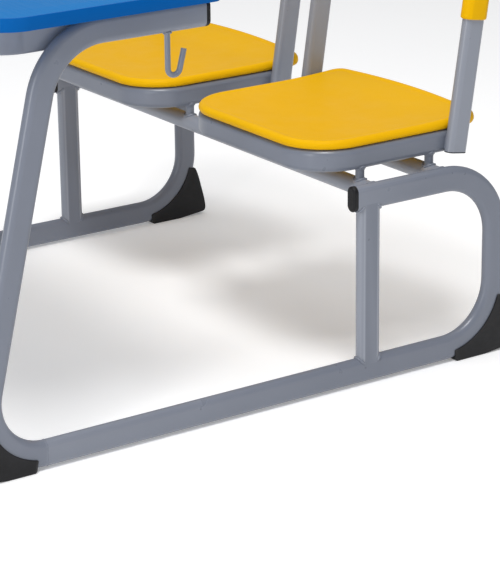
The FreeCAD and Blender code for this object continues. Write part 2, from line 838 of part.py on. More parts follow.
def make_seat_shell(side):
    """Moulded seat: a thick-rimmed shell with four screw bosses underneath."""
    body = new_body(f"seat_shell_{side}")
    outline = new_sketch(body, "outline", "XY_Plane")
    draw_seat_outline(outline, NOTHING)
    add_pad(body, outline, size("seat_thick"))
    round_edges(body, size("seat_round"), lies_at(size("seat_thick")))
    hollow = new_sketch(body, "hollow", "XY_Plane")
    draw_seat_outline(hollow, size("seat_rim"))
    cut_pocket(body, hollow, size("seat_thick") - size("seat_skin"), backwards=True)
    boss_reach = size("seat_bottom") - size("tab_level") - size("tab_thick")
    bosses = new_sketch(body, "bosses", "XY_Plane", -boss_reach)
    row = size("tab_row") / 2
    for across in (-TAB_PLACE, TAB_PLACE):
        for along in (-row, row):
            draw_disc(bosses, size("boss_across") / 2, across, along)
    add_pad(body, bosses, boss_reach + size("seat_thick") - size("seat_skin") / 2)
    drills = new_sketch(body, "drills", "XY_Plane", -boss_reach)
    for across in (-TAB_PLACE, TAB_PLACE):
        for along in (-row, row):
            draw_disc(drills, size("screw_shank") / 2 + size("hole_gap"), across, along)
    cut_pocket(body, drills, size("boss_drill"), backwards=True)
    put(body, seat_centre(side), size("seat_middle"), size("seat_bottom"))


def draw_cross(sketch, across, up):
    """A cross recess for a screwdriver."""
    long = as_size(2.2)
    narrow = as_size(0.6)
    draw_polygon(sketch, [
        (across - long, up - narrow),
        (across - narrow, up - narrow),
        (across - narrow, up - long),
        (across + narrow, up - long),
        (across + narrow, up - narrow),
        (across + long, up - narrow),
        (across + long, up + narrow),
        (across + narrow, up + narrow),
        (across + narrow, up + long),
        (across - narrow, up + long),
        (across - narrow, up + narrow),
        (across - long, up + narrow),
    ])


def draw_screw(body, head, head_tall, shank, reach, plane="XY_Plane", backwards=False):
    """One pan-head screw at the body's origin, its head's seat in the given plane."""
    head_sketch = new_sketch(body, "head", plane)
    draw_disc(head_sketch, head / 2)
    add_pad(body, head_sketch, head_tall, backwards=not backwards)
    outer = -head_tall if not backwards else head_tall
    letter = {"XY_Plane": "z", "XZ_Plane": "y", "YZ_Plane": "x"}[plane]
    flip = -1 if plane == "XZ_Plane" else 1
    round_edges(body, head_tall * 0.45, lies_at(outer * flip, letter))
    shank_sketch = new_sketch(body, "shank", plane)
    draw_disc(shank_sketch, shank / 2)
    add_pad(body, shank_sketch, reach, backwards=backwards)
    recess = new_sketch(body, "recess", plane, outer)
    draw_cross(recess, NOTHING, NOTHING)
    cut_pocket(body, recess, head_tall * 0.6, backwards=not backwards)


def repeat_whole(body, name, plane, across=None, up=None):
    """Repeat the whole body along two axes of one of its origin planes, each given as (spacing, count)."""
    guide = new_sketch(body, name, plane)
    pattern = body.newObject("PartDesign::LinearPattern", f"{body.Label}_{name}_grid")
    pattern.TransformMode = "Whole shape"
    pattern.Direction = (guide, ["H_Axis"])
    pattern.Length = (across[0] * (across[1] - 1)).number
    pattern.setExpression("Length", (across[0] * (across[1] - 1)).formula)
    pattern.Occurrences = across[1]
    if up is not None:
        pattern.Direction2 = (guide, ["V_Axis"])
        pattern.Length2 = (up[0] * (up[1] - 1)).number
        pattern.setExpression("Length2", (up[0] * (up[1] - 1)).formula)
        pattern.Occurrences2 = up[1]
    body.Tip = pattern
    document.recompute()


def make_seat_screws(side):
    body = new_body(f"seat_screws_{side}")
    draw_screw(body, size("screw_head"), size("screw_head_tall"), size("screw_shank"), size("seat_screw_long"))
    repeat_whole(body, "spread", "XY_Plane", (TAB_PLACE * 2, 2), (size("tab_row"), 2))
    put(body, seat_centre(side) - TAB_PLACE, size("seat_middle") - size("tab_row") / 2, size("tab_level"))


# ---------------------------------------------------------------- backrests

def make_post(side, hand):
    """One leaning backrest post, welded to the outside of a seat ring."""
    body = new_body(f"{side}_seat_post_{hand}")
    section = new_sketch(body, "section", "XY_Plane")
    draw_tube_section(section, POST_THICK, POST_TALL)
    add_pad(body, section, size("post_length"))
    drill = new_sketch(body, "screw_holes", "XZ_Plane")
    for step in (NOTHING, BACK_SCREW_STEP):
        draw_disc(drill, size("screw_shank") / 2 + size("hole_gap"), NOTHING,
                  size("sleeve_start") + BACK_SCREW_FIRST + step)
    cut_pocket(body, drill, POST_TALL)
    tilt_back(body, size("post_lean"))
    put(body, seat_centre(side) + POST_PLACE * SIDES[hand], size("post_foot_place"), size("post_foot_level"))


def along_post(distance):
    """The place and level of a point on the posts' axis, a distance up from their feet."""
    place = size("post_foot_place") + distance * sine(size("post_lean"))
    level = size("post_foot_level") + distance * cosine(size("post_lean"))
    return place, level


def draw_panel_gap(sketch, front):
    """The space in front of or behind the curved panel, between the two sleeves."""
    reach = PANEL_REACH
    deep = POST_TALL / 2 + size("sleeve_wall") * 2
    bulge = size("back_bulge")
    radius = bulge if front else bulge + size("back_skin")
    centre_up = size("back_middle") - bulge
    edge_up = centre_up + root(radius * radius - reach * reach)
    far = -deep if front else deep
    axis = FreeCAD.Vector(0, 0, 1)
    half_angle = math.asin(reach.number / radius.number)
    circle = Part.Circle(vector(0, centre_up.number), axis, radius.number)
    arc = sketch.addGeometry(Part.ArcOfCircle(circle, math.pi / 2 - half_angle, math.pi / 2 + half_angle))
    near_right = vector(reach.number, edge_up.number)
    far_right = vector(reach.number, far.number)
    far_left = vector(-reach.number, far.number)
    near_left = vector(-reach.number, edge_up.number)
    right = sketch.addGeometry(Part.LineSegment(near_right, far_right))
    base = sketch.addGeometry(Part.LineSegment(far_right, far_left))
    left = sketch.addGeometry(Part.LineSegment(far_left, near_left))
    joins = ((arc, 1, right, 1), (right, 2, base, 1), (base, 2, left, 1), (left, 2, arc, 2))
    for here, leave, there, entry in joins:
        sketch.addConstraint(Sketcher.Constraint("Coincident", here, leave, there, entry))
    pin_point(sketch, arc, 3, NOTHING, centre_up)
    dimension(sketch, "Radius", (arc,), radius)
    sketch.addConstraint(Sketcher.Constraint("Vertical", right))
    sketch.addConstraint(Sketcher.Constraint("Vertical", left))
    pin_point(sketch, base, 1, reach, far)
    pin_point(sketch, base, 2, -reach, far)


def make_backrest(side):
    """Moulded backrest: a curved panel between two sleeves that slip over the posts."""
    body = new_body(f"backrest_{side}")
    wall = size("sleeve_wall")
    half_wide = POST_PLACE + POST_THICK / 2 + wall
    deep = POST_TALL + wall * 2
    high = size("back_height")
    corner = size("back_corner_size")
    foot = size("sleeve_foot")
    outline = new_sketch(body, "outline", "XZ_Plane")
    draw_wrap(outline, [
        (foot - half_wide, foot, foot),
        (half_wide - foot, foot, foot),
        (half_wide - corner, high - corner, corner),
        (corner - half_wide, high - corner, corner),
    ])
    add_pad(body, outline, deep, both_ways=True)
    half_deep = deep / 2
    for level in (half_deep, -half_deep):
        round_edges(body, size("sleeve_round"), lies_at(level, "y"))
    for front in (True, False):
        gap = new_sketch(body, "front_gap" if front else "rear_gap", "XY_Plane")
        draw_panel_gap(gap, front)
        cut_pocket(body, gap, both_ways=True)
    arch = new_sketch(body, "arch", "XZ_Plane")
    arch_low = size("back_arch") - size("arch_corner") * 3
    draw_rounded(arch, -PANEL_REACH, PANEL_REACH, arch_low, size("back_arch"), size("arch_corner"))
    cut_pocket(body, arch, both_ways=True)
    bores = new_sketch(body, "bores", "XY_Plane")
    loose = size("plug_gap") * 2
    for hand in (-1, 1):
        draw_oval(bores, POST_THICK + loose, POST_TALL + loose, POST_PLACE * hand)
    cut_pocket(body, bores, size("sleeve_depth"), backwards=True)
    drill = new_sketch(body, "screw_holes", "XZ_Plane")
    for hand in (-1, 1):
        for step in (NOTHING, BACK_SCREW_STEP):
            draw_disc(drill, size("screw_shank") / 2 + size("hole_gap"), POST_PLACE * hand,
                      BACK_SCREW_FIRST + step)
    cut_pocket(body, drill, POST_TALL)
    tilt_back(body, size("post_lean"))
    place, level = along_post(size("sleeve_start"))
    put(body, seat_centre(side), place, level)


def make_backrest_screws(side):
    body = new_body(f"backrest_screws_{side}")
    draw_screw(body, size("screw_head"), size("screw_head_tall"), size("screw_shank"),
               size("sleeve_wall") + TUBE_WALL + 3, "XZ_Plane")
    repeat_whole(body, "spread", "XZ_Plane", (POST_PLACE * 2, 2), (BACK_SCREW_STEP, 2))
    tilt_back(body, size("post_lean"))
    place, level = along_post(size("sleeve_start") + BACK_SCREW_FIRST)
    rear = POST_TALL / 2 + size("sleeve_wall")
    put(body, seat_centre(side) - POST_PLACE,
        place + rear * cosine(size("post_lean")), level - rear * sine(size("post_lean")))


def make_post_plugs():
    """Plastic plugs in the open lower ends of the four posts."""
    body = new_body("post_plugs")
    flange = new_sketch(body, "flange", "XY_Plane")
    draw_oval(flange, POST_THICK, POST_TALL)
    add_pad(body, flange, size("plug_flange"), backwards=True)
    stem = new_sketch(body, "stem", "XY_Plane")
    shrink = (TUBE_WALL + size("plug_gap")) * 2
    draw_oval(stem, POST_THICK - shrink, POST_TALL - shrink)
    add_pad(body, stem, size("plug_long"))
    guide = new_sketch(body, "spread", "XY_Plane")
    pattern = body.newObject("PartDesign::LinearPattern", "post_plugs_grid")
    pattern.TransformMode = "Whole shape"
    pattern.Direction = (guide, ["H_Axis"])
    pattern.Length = (POST_PLACE * 2).number
    pattern.setExpression("Length", (POST_PLACE * 2).formula)
    pattern.Occurrences = 2
    pattern.Direction2 = (guide, ["H_Axis"])
    pattern.Length2 = size("seat_pitch").number
    pattern.setExpression("Length2", size("seat_pitch").formula)
    pattern.Occurrences2 = 2
    body.Tip = pattern
    document.recompute()
    tilt_back(body, size("post_lean"))
    put(body, -SEAT_PLACE - POST_PLACE, size("post_foot_place"), size("post_foot_level"))


# ---------------------------------------------------------------- hooks, caps and shoes

def make_bag_hook(side):
    """A bent bar welded under the desk rail, its tip leaning out towards the sitter."""
    body = new_body(f"bag_hook_{side}")
    section = new_sketch(body, "section", "XY_Plane")
    draw_disc(section, size("hook_across") / 2)
    sunk = size("hook_sunk")
    route = new_sketch(body, "route", "YZ_Plane")
    draw_route(route, 270, [
        ("run", size("hook_drop") + sunk),
        ("left", size("hook_bend"), size("hook_turn")),
        ("run", size("hook_rise")),
    ])
    sweep_along(body, section, route)
    rail = new_sketch(body, "rail", "XZ_Plane")
    draw_oval(rail, TUBE_THICK, TUBE_TALL, NOTHING, TUBE_TALL / 2 - sunk)
    cut_pocket(body, rail, both_ways=True)
    put(body, FRAME_PLACE * SIDES[side], size("hook_place"), DESK_RAIL_LEVEL - TUBE_TALL / 2 + sunk)


def make_cap(label, side, place, level, faces_front):
    """Domed plastic cap with a stem inside the tube's end."""
    body = new_body(label)
    face = new_sketch(body, "face", "XZ_Plane")
    draw_oval(face, TUBE_THICK, TUBE_TALL)
    add_pad(body, face, size("cap_thick"))
    round_edges(body, size("cap_round"), lies_at(-size("cap_thick"), "y"))
    stem = new_sketch(body, "stem", "XZ_Plane")
    shrink = (TUBE_WALL + size("plug_gap")) * 2
    draw_oval(stem, TUBE_THICK - shrink, TUBE_TALL - shrink)
    add_pad(body, stem, size("plug_long"), backwards=True)
    if not faces_front:
        turn_round(body)
    put(body, FRAME_PLACE * SIDES[side], place, level)


def make_shoe(label, side, bend_place, bend_size, faces_rear):
    """Wedge-shaped plastic shoe that fills the outer corner of a lower bend and carries the frame."""
    body = new_body(label)
    centre_up = size("bottom_rail_level") + bend_size
    outer = bend_size + TUBE_TALL / 2
    inner = outer - size("shoe_lap")
    top = size("shoe_top")
    reach = size("unit_depth") / 2 - bend_place if faces_rear else size("unit_depth") / 2 + bend_place
    toe = size("shoe_toe")
    crest = root(outer * outer - (centre_up - top) * (centre_up - top)) + 1
    lap_top = root(inner * inner - (centre_up - top) * (centre_up - top))
    lap_toe = centre_up - root(inner * inner - toe * toe)
    outline = new_sketch(body, "outline", "YZ_Plane")
    points = [
        (lap_top, top),
        (crest, top),
        (reach, size("shoe_heel_high")),
        (reach, size("shoe_heel_low")),
        (reach * 0.55, NOTHING),
        (toe, NOTHING),
        (toe, lap_toe),
    ]
    for here, there in zip(points[:-1], points[1:]):
        outline.addGeometry(Part.LineSegment(vector(here[0].number, here[1].number),
                                             vector(there[0].number, there[1].number)))
    last = len(points) - 2
    for index in range(last):
        outline.addConstraint(Sketcher.Constraint("Coincident", index, 2, index + 1, 1))
    begin = math.atan2(lap_toe.number - centre_up.number, toe.number)
    end = math.atan2(top.number - centre_up.number, lap_top.number)
    circle = Part.Circle(vector(0, centre_up.number), FreeCAD.Vector(0, 0, 1), inner.number)
    arc = outline.addGeometry(Part.ArcOfCircle(circle, begin, end))
    outline.addConstraint(Sketcher.Constraint("Coincident", last, 2, arc, 1))
    outline.addConstraint(Sketcher.Constraint("Coincident", arc, 2, 0, 1))
    for index, (across, up) in enumerate(points[1:-1]):
        pin_point(outline, index, 2, across, up)
    pin_point(outline, arc, 3, NOTHING, centre_up)
    dimension(outline, "Radius", (arc,), inner)
    outline.addConstraint(Sketcher.Constraint("Horizontal", 0))
    outline.addConstraint(Sketcher.Constraint("Vertical", last))
    add_pad(body, outline, TUBE_THICK + size("shoe_wall") * 2, both_ways=True)

    def heel_or_crest(edge):
        box = edge.BoundBox
        across_body = box.XMax - box.XMin > 5
        at_heel = abs(box.YMin - reach.number) < 1e-3
        at_crest = abs(box.YMin - crest.number) < 1e-3 and abs(box.ZMin - top.number) < 1e-3
        return across_body and (at_heel or at_crest)

    round_edges(body, size("shoe_round"), heel_or_crest)
    section = new_sketch(body, "tube", "XZ_Plane")
    draw_oval(section, TUBE_THICK + size("plug_gap"), TUBE_TALL + size("plug_gap"), NOTHING,
              size("bottom_rail_level"))
    route = new_sketch(body, "tube_route", "YZ_Plane")
    draw_tube_route(route, bend_size)
    before = body.Shape.Volume
    tunnel = body.newObject("PartDesign::SubtractivePipe", f"{label}_tunnel")
    tunnel.Profile = (section, [""])
    tunnel.Spine = (route, [""])
    body.Tip = tunnel
    document.recompute()
    if body.Shape.Volume > before - 1e-3:
        raise ValueError(f"{label} has no tunnel for the tube")
    if not faces_rear:
        turn_round(body)
    put(body, FRAME_PLACE * SIDES[side], bend_place, NOTHING)


def draw_tube_route(sketch, bend_size):
    """The lower bend's route from under its centre, then straight up."""
    low = size("bottom_rail_level")
    circle = Part.Circle(vector(0, (low + bend_size).number), FreeCAD.Vector(0, 0, 1), bend_size.number)
    arc = sketch.addGeometry(Part.ArcOfCircle(circle, -math.pi / 2, 0))
    pin_point(sketch, arc, 3, NOTHING, low + bend_size)
    dimension(sketch, "Radius", (arc,), bend_size)
    sketch.addConstraint(Sketcher.Constraint("PointOnObject", arc, 1, -2))
    angle_dimension(sketch, arc, QUARTER)


# ---------------------------------------------------------------- fasteners of the desk

def make_desktop_screws():
    body = new_body("desktop_screws")
    draw_screw(body, size("screw_head"), size("screw_head_tall"), size("screw_shank"),
               size("top_screw_long"))
    repeat_whole(body, "spread", "XY_Plane", (tray_screw_row() * 2, 2), (TOP_SCREW_STEP, 3))
    put(body, -tray_screw_row(), TOP_SCREW_FIRST, TRAY_FLOOR + size("tray_tall") - size("tray_sheet"))


def make_tray_bolts(side):
    """Two bolts through the tray's side wall into the desk rail."""
    body = new_body(f"tray_bolts_{side}")
    draw_screw(body, size("bolt_head"), size("bolt_head_tall"), size("bolt_shank"), size("tray_bolt_long"),
               "YZ_Plane", backwards=side == "left")
    repeat_whole(body, "spread", "YZ_Plane", (TRAY_BOLT_STEP, 2))
    put(body, (FRAME_INSIDE - size("tray_sheet")) * SIDES[side], TRAY_BOLT_FIRST, TRAY_FLOOR + TRAY_BOLT_LEVEL)


# ---------------------------------------------------------------- the whole unit

def build_unit():
    make_desktop_board()
    make_desktop_edge_band()
    make_book_tray()
    make_desktop_screws()
    make_seat_beam("front_seat_beam", "front_beam_place")
    make_seat_beam("rear_seat_beam", "rear_beam_place")
    make_foot_stretcher()
    make_post_plugs()
    rear_bend = size("rear_leg_place") - size("rear_bend_size")
    for side in SIDES:
        make_seat_frame(side)
        make_desk_frame(side)
        make_front_leg(side)
        make_tray_bolts(side)
        make_bag_hook(side)
        make_cap(f"seat_rail_cap_{side}", side, size("seat_rail_front"), size("seat_rail_level"), True)
        make_cap(f"desk_rail_cap_{side}", side, size("desk_rail_end"), DESK_RAIL_LEVEL, False)
        make_shoe(f"rear_shoe_{side}", side, rear_bend, size("rear_bend_size"), True)
        make_shoe(f"front_shoe_{side}", side, size("foot_bend_place"), size("foot_bend_size"), False)
        make_standoffs(side)
        make_seat_ring(side)
        make_seat_tabs(side)
        make_seat_shell(side)
        make_seat_screws(side)
        make_backrest(side)
        make_backrest_screws(side)
        for hand in SIDES:
            make_post(side, hand)


def check_unit():
    """Stop if any object failed or any sub-part has no valid solid."""
    for item in document.Objects:
        if "Invalid" in item.State or "Error" in item.State:
            raise ValueError(f"{item.Label} failed: {item.State}")
    for part in sub_parts:
        if part.Shape.isNull() or not part.Shape.isValid() or not part.Shape.Solids:
            raise ValueError(f"{part.Label} has no valid solid")


def write_parts():
    os.makedirs("parts", exist_ok=True)
    for part in sub_parts:
        part.Shape.exportStep(f"parts/{part.Label}.step")


fill_sheet()
build_unit()
document.recompute()
check_unit()
write_parts()
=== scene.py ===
import json
import math

import bmesh
import bpy
from mathutils import Matrix, Vector


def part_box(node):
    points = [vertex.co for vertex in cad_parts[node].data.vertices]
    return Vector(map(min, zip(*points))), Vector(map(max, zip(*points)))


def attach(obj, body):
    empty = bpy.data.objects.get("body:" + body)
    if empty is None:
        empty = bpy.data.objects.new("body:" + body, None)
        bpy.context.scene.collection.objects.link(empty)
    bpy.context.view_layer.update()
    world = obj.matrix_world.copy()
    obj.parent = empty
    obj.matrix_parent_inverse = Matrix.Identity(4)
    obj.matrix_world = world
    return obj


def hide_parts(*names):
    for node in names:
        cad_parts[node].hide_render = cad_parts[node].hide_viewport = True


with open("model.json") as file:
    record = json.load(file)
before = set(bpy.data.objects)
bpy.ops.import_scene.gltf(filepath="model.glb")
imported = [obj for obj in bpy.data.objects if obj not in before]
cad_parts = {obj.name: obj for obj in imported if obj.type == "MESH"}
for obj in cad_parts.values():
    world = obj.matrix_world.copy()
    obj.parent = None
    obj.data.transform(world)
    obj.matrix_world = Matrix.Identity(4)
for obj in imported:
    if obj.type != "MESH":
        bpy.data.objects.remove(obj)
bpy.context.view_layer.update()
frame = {"nodes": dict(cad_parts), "record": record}

# Metres, +Z up, floor at Z = 0. X runs along the desk and the sitters face -Y.

SIDES = {"left": -1, "right": 1}

# Camera
CAMERA_PLACE = Vector((3.763, -2.2255, 1.5811))
CAMERA_AZIMUTH = 55.787
CAMERA_DOWN = 19.080
CAMERA_ROLL = -0.682
CAMERA_LENS = 151.81

# Tubes and plates
TUBE_ROUND = 0.0115
POST_ROUND = 0.01075
POST_HALF = 0.0215
POST_LEAN = math.radians(8.8)
SLEEVE_WALL = 0.004
SEAT_THICK = 0.016
SEAT_FRONT_CORNER = 0.096
SEAT_REAR_CORNER = 0.030
SEAT_REAR_BOW = 1.200
SEAT_SKIN = 0.005
SEAT_LIFT = 0.009
SEAT_LIFT_START = 0.12      # a share of the half depth behind the seat's middle
SLEEVE_FOOT = 0.237
BACK_HEIGHT = 0.230
BAND_THICK = 0.003
TOP_FRONT_CORNER = 0.065
TOP_BACK_CORNER = 0.015
REAR_BEND = 0.115
FOOT_BEND = 0.100
RAIL_MIDDLE = 0.027


# ---------------------------------------------------------------- mesh helpers

def make_piece(name, vertices, faces, material, sharp=32):
    """A mesh piece that rides on the one body, smooth except at edges sharper than the given angle."""
    mesh = bpy.data.meshes.new(name)
    mesh.from_pydata([tuple(v) for v in vertices], [], faces)
    builder = bmesh.new()
    builder.from_mesh(mesh)
    bmesh.ops.remove_doubles(builder, verts=builder.verts, dist=1e-6)
    bmesh.ops.recalc_face_normals(builder, faces=builder.faces)
    builder.to_mesh(mesh)
    builder.free()
    mesh.polygons.foreach_set("use_smooth", [True] * len(mesh.polygons))
    mesh.set_sharp_from_angle(angle=math.radians(sharp))
    mesh.materials.append(material)
    piece = bpy.data.objects.new(name, mesh)
    bpy.context.scene.collection.objects.link(piece)
    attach(piece, "root")
    return piece


class Shape:
    """Vertices and faces gathered from several lofts."""

    def __init__(self):
        self.vertices = []
        self.faces = []

    def loft(self, rings, closed=False, caps=True):
        """Join equal rings of points in turn; a closed loft also joins its last ring to its first."""
        start = len(self.vertices)
        count = len(rings[0])
        for ring in rings:
            self.vertices.extend(ring)
        spans = len(rings) if closed else len(rings) - 1
        for span in range(spans):
            here = start + span * count
            there = start + (span + 1) % len(rings) * count
            for index in range(count):
                following = (index + 1) % count
                self.faces.append((here + index, here + following, there + following, there + index))
        if caps and not closed:
            self.faces.append(tuple(range(start + count - 1, start - 1, -1)))
            last = start + (len(rings) - 1) * count
            self.faces.append(tuple(range(last, last + count)))

    def piece(self, name, material, slot, sharp=32):
        return make_piece(name, self.vertices, self.faces, material, sharp)


def corner_outline(half_x, half_y, front, back, steps=14):
    """A rectangle with round corners, anticlockwise from its front left corner."""
    points = []
    for sign_x, sign_y, radius, begin in (
        (-1, -1, front, 180),
        (1, -1, front, 270),
        (1, 1, back, 0),
        (-1, 1, back, 90),
    ):
        middle_x = sign_x * (half_x - radius)
        middle_y = sign_y * (half_y - radius)
        for step in range(steps + 1):
            angle = math.radians(begin + 90 * step / steps)
            points.append((middle_x + radius * math.cos(angle), middle_y + radius * math.sin(angle)))
    return points


def dense_outline(points, longest):
    """The same outline with extra points, so that no stretch is longer than the given length."""
    dense = []
    for (x, y), (next_x, next_y) in zip(points, points[1:] + points[:1]):
        parts = max(1, math.ceil(math.hypot(next_x - x, next_y - y) / longest))
        for part in range(parts):
            dense.append((x + (next_x - x) * part / parts, y + (next_y - y) * part / parts))
    return dense


def bead_along(shape, points, radius, closed, ripple=0.12):
    """A weld bead: a rippled round section along a line of points."""
    sides = 10
    rings = []
    count = len(points)
    for index, point in enumerate(points):
        before = points[index - 1] if closed or index > 0 else point
        after = points[(index + 1) % count] if closed or index < count - 1 else point
        ahead = (after - before).normalized()
        across = ahead.orthogonal().normalized()
        if rings:
            across = (last_across - ahead * last_across.dot(ahead)).normalized()
        last_across = across
        upward = ahead.cross(across)
        swell = radius * (1 + ripple * math.cos(index * math.pi * 0.5))
        if not closed and index in (0, count - 1):
            swell = radius * 0.35
        rings.append([
            point + (across * math.cos(turn) + upward * math.sin(turn)) * swell
            for turn in (2 * math.pi * side / sides for side in range(sides))
        ])
    shape.loft(rings, closed=closed)


# ---------------------------------------------------------------- materials

class Nodes:
    """A short way to build one material's node tree around its Principled shader."""

    def __init__(self, name):
        self.material = bpy.data.materials.new(name)
        self.material.use_nodes = True
        self.tree = self.material.node_tree
        self.shader = self.tree.nodes["Principled BSDF"]
        self.place = self.tree.nodes.new("ShaderNodeTexCoord").outputs["Object"]

    def add(self, kind, settings=None, **values):
        node = self.tree.nodes.new(kind)
        for key, value in (settings or {}).items():
            setattr(node, key, value)
        for key, value in values.items():
            self.feed(node.inputs[key.replace("_", " ")], value)
        return node

    def feed(self, socket, value):
        if isinstance(value, bpy.types.NodeSocket):
            self.tree.links.new(value, socket)
        else:
            socket.default_value = value

    def noise(self, scale, detail=2.0, roughness=0.5, place=None):
        node = self.add("ShaderNodeTexNoise", Scale=scale, Detail=detail, Roughness=roughness)
        self.feed(node.inputs["Vector"], place or self.place)
        return node.outputs["Fac"]

    def spread(self, value, low, high, start=0.0, stop=1.0):
        node = self.add("ShaderNodeMapRange", Value=value, From_Min=low, From_Max=high,
                        To_Min=start, To_Max=stop)
        return node.outputs["Result"]

    def mix(self, factor, first, second):
        node = self.add("ShaderNodeMix", {"data_type": "RGBA"})
        self.feed(node.inputs["Factor"], factor)
        self.feed(node.inputs[6], first)
        self.feed(node.inputs[7], second)
        return node.outputs[2]

    def stretched(self, scale):
        return self.add("ShaderNodeMapping", Vector=self.place, Scale=scale).outputs["Vector"]

    def bumps(self, *layers):
        """Chain bump layers, each (height, distance, strength)."""
        normal = None
        for height, distance, strength in layers:
            node = self.add("ShaderNodeBump", Height=height, Distance=distance, Strength=strength)
            if normal is not None:
                self.feed(node.inputs["Normal"], normal)
            normal = node.outputs["Normal"]
        self.feed(self.shader.inputs["Normal"], normal)

    def edges(self, low, high):
        """0 on open faces, 1 on outer edges, where handling rubs."""
        point = self.add("ShaderNodeNewGeometry").outputs["Pointiness"]
        return self.spread(point, low, high)

    def set(self, **values):
        for key, value in values.items():
            self.feed(self.shader.inputs[key.replace("_", " ")], value)


def powder_coat():
    """Blue-grey satin powder coat: orange peel, faint mottle, edges rubbed a little brighter."""
    nodes = Nodes("powder_coat")
    mottle = nodes.spread(nodes.noise(9, 4), 0.3, 0.7)
    body = nodes.mix(mottle, (0.166, 0.184, 0.228, 1), (0.178, 0.196, 0.243, 1))
    speck = nodes.spread(nodes.noise(2400, 1), 0.62, 0.72, 0, 0.35)
    flecked = nodes.mix(speck, body, (0.215, 0.23, 0.275, 1))
    rubbed = nodes.mix(nodes.edges(0.56, 0.66), flecked, (0.29, 0.31, 0.36, 1))
    rough = nodes.spread(nodes.noise(38, 3), 0.25, 0.75, 0.27, 0.33)
    nodes.set(Base_Color=rubbed, Roughness=rough)
    nodes.bumps((nodes.noise(620, 2), 0.0002, 0.16), (nodes.noise(55, 2), 0.0003, 0.05))
    return nodes.material


def weld_metal():
    """The powder coat where it lies over a weld bead, with its ripples and a little spatter."""
    nodes = Nodes("coated_weld")
    mottle = nodes.spread(nodes.noise(120, 4), 0.3, 0.7)
    body = nodes.mix(mottle, (0.170, 0.188, 0.233, 1), (0.222, 0.240, 0.286, 1))
    rough = nodes.spread(nodes.noise(300, 3), 0.25, 0.75, 0.28, 0.42)
    nodes.set(Base_Color=body, Roughness=rough)
    nodes.bumps((nodes.noise(900, 3), 0.0004, 0.35))
    return nodes.material


def seat_plastic():
    """Yellow moulded plastic: fine spark grain, faint flow marks, softly glossy."""
    nodes = Nodes("seat_plastic")
    flow = nodes.noise(3.2, 3, 0.55, nodes.stretched((1, 2.6, 1)))
    streak = nodes.spread(flow, 0.3, 0.7)
    body = nodes.mix(streak, (0.745, 0.395, 0.002, 1), (0.79, 0.430, 0.003, 1))
    fine = nodes.spread(nodes.noise(1700, 1), 0.35, 0.65)
    grained = nodes.mix(fine, body, (0.81, 0.450, 0.004, 1))
    rubbed = nodes.mix(nodes.edges(0.53, 0.62), grained, (0.83, 0.50, 0.02, 1))
    rough = nodes.spread(nodes.noise(22, 3), 0.25, 0.75, 0.34, 0.45)
    nodes.set(Base_Color=rubbed, Roughness=rough)
    nodes.set(Specular_IOR_Level=0.09, Specular_Tint=(1.0, 0.80, 0.30, 1))
    cells = nodes.add("ShaderNodeTexVoronoi", Vector=nodes.place, Scale=1150.0).outputs["Distance"]
    grain = nodes.noise(2600, 2)
    waves = nodes.noise(14, 2)
    nodes.bumps((cells, 0.0002, 0.16), (grain, 0.0001, 0.15), (waves, 0.0015, 0.06))
    return nodes.material


def desktop_laminate():
    """Blue laminate with a pearl texture and faint wipe marks."""
    nodes = Nodes("desktop_laminate")
    cloud = nodes.spread(nodes.noise(4, 4), 0.3, 0.7)
    body = nodes.mix(cloud, (0.003, 0.146, 0.425, 1), (0.004, 0.160, 0.455, 1))
    fine = nodes.spread(nodes.noise(1500, 2), 0.4, 0.7, 0, 0.5)
    grained = nodes.mix(fine, body, (0.007, 0.176, 0.485, 1))
    wipes = nodes.noise(60, 4, 0.6, nodes.stretched((0.25, 5, 1)))
    nodes.set(Base_Color=grained, Roughness=nodes.spread(wipes, 0.3, 0.7, 0.32, 0.44))
    nodes.set(Specular_IOR_Level=0.17, Specular_Tint=(0.10, 0.68, 1.0, 1))
    nodes.bumps((nodes.noise(1100, 2), 0.0002, 0.22), (wipes, 0.0001, 0.05))
    return nodes.material


def edge_plastic():
    """Darker blue edge band, smooth with fine draw lines along its length. Its blue, darker than the top's,
    is partly the band's own tone and partly painted shade of the desk's side faces.
    """
    nodes = Nodes("edge_band_plastic")
    lines = nodes.noise(20, 3, 0.6, nodes.stretched((1, 1, 130)))
    # Painted shade: these blues are set darker than the desktop's, standing in part for the shade on the
    # desk's side faces.
    body = nodes.mix(nodes.spread(lines, 0.3, 0.7), (0.0002, 0.076, 0.300, 1), (0.0003, 0.084, 0.325, 1))
    rubbed = nodes.mix(nodes.edges(0.53, 0.60), body, (0.02, 0.17, 0.52, 1))
    rough = nodes.spread(nodes.noise(70, 3), 0.3, 0.7, 0.30, 0.42)
    nodes.set(Base_Color=rubbed, Roughness=rough)
    nodes.set(Specular_IOR_Level=0.12, Specular_Tint=(0.06, 0.60, 1.0, 1))
    nodes.bumps((lines, 0.0002, 0.10), (nodes.noise(1300, 2), 0.0001, 0.12))
    return nodes.material


def black_plastic():
    """Near-black moulded plastic with a coarse grain, scuffed grey along its edges."""
    nodes = Nodes("black_plastic")
    mottle = nodes.spread(nodes.noise(30, 4), 0.3, 0.7)
    body = nodes.mix(mottle, (0.003, 0.003, 0.004, 1), (0.007, 0.007, 0.009, 1))
    scuffs = nodes.noise(90, 5, 0.7, nodes.stretched((1, 1, 3)))
    worn = nodes.mix(nodes.spread(scuffs, 0.62, 0.78, 0, 0.5), body, (0.030, 0.030, 0.032, 1))
    rubbed = nodes.mix(nodes.edges(0.54, 0.64), worn, (0.04, 0.04, 0.042, 1))
    rough = nodes.spread(scuffs, 0.3, 0.7, 0.40, 0.58)
    nodes.set(Base_Color=rubbed, Roughness=rough, Specular_IOR_Level=0.30)
    cells = nodes.add("ShaderNodeTexVoronoi", Vector=nodes.place, Scale=800.0).outputs["Distance"]
    nodes.bumps((cells, 0.0003, 0.25), (nodes.noise(1600, 2), 0.0001, 0.15))
    return nodes.material


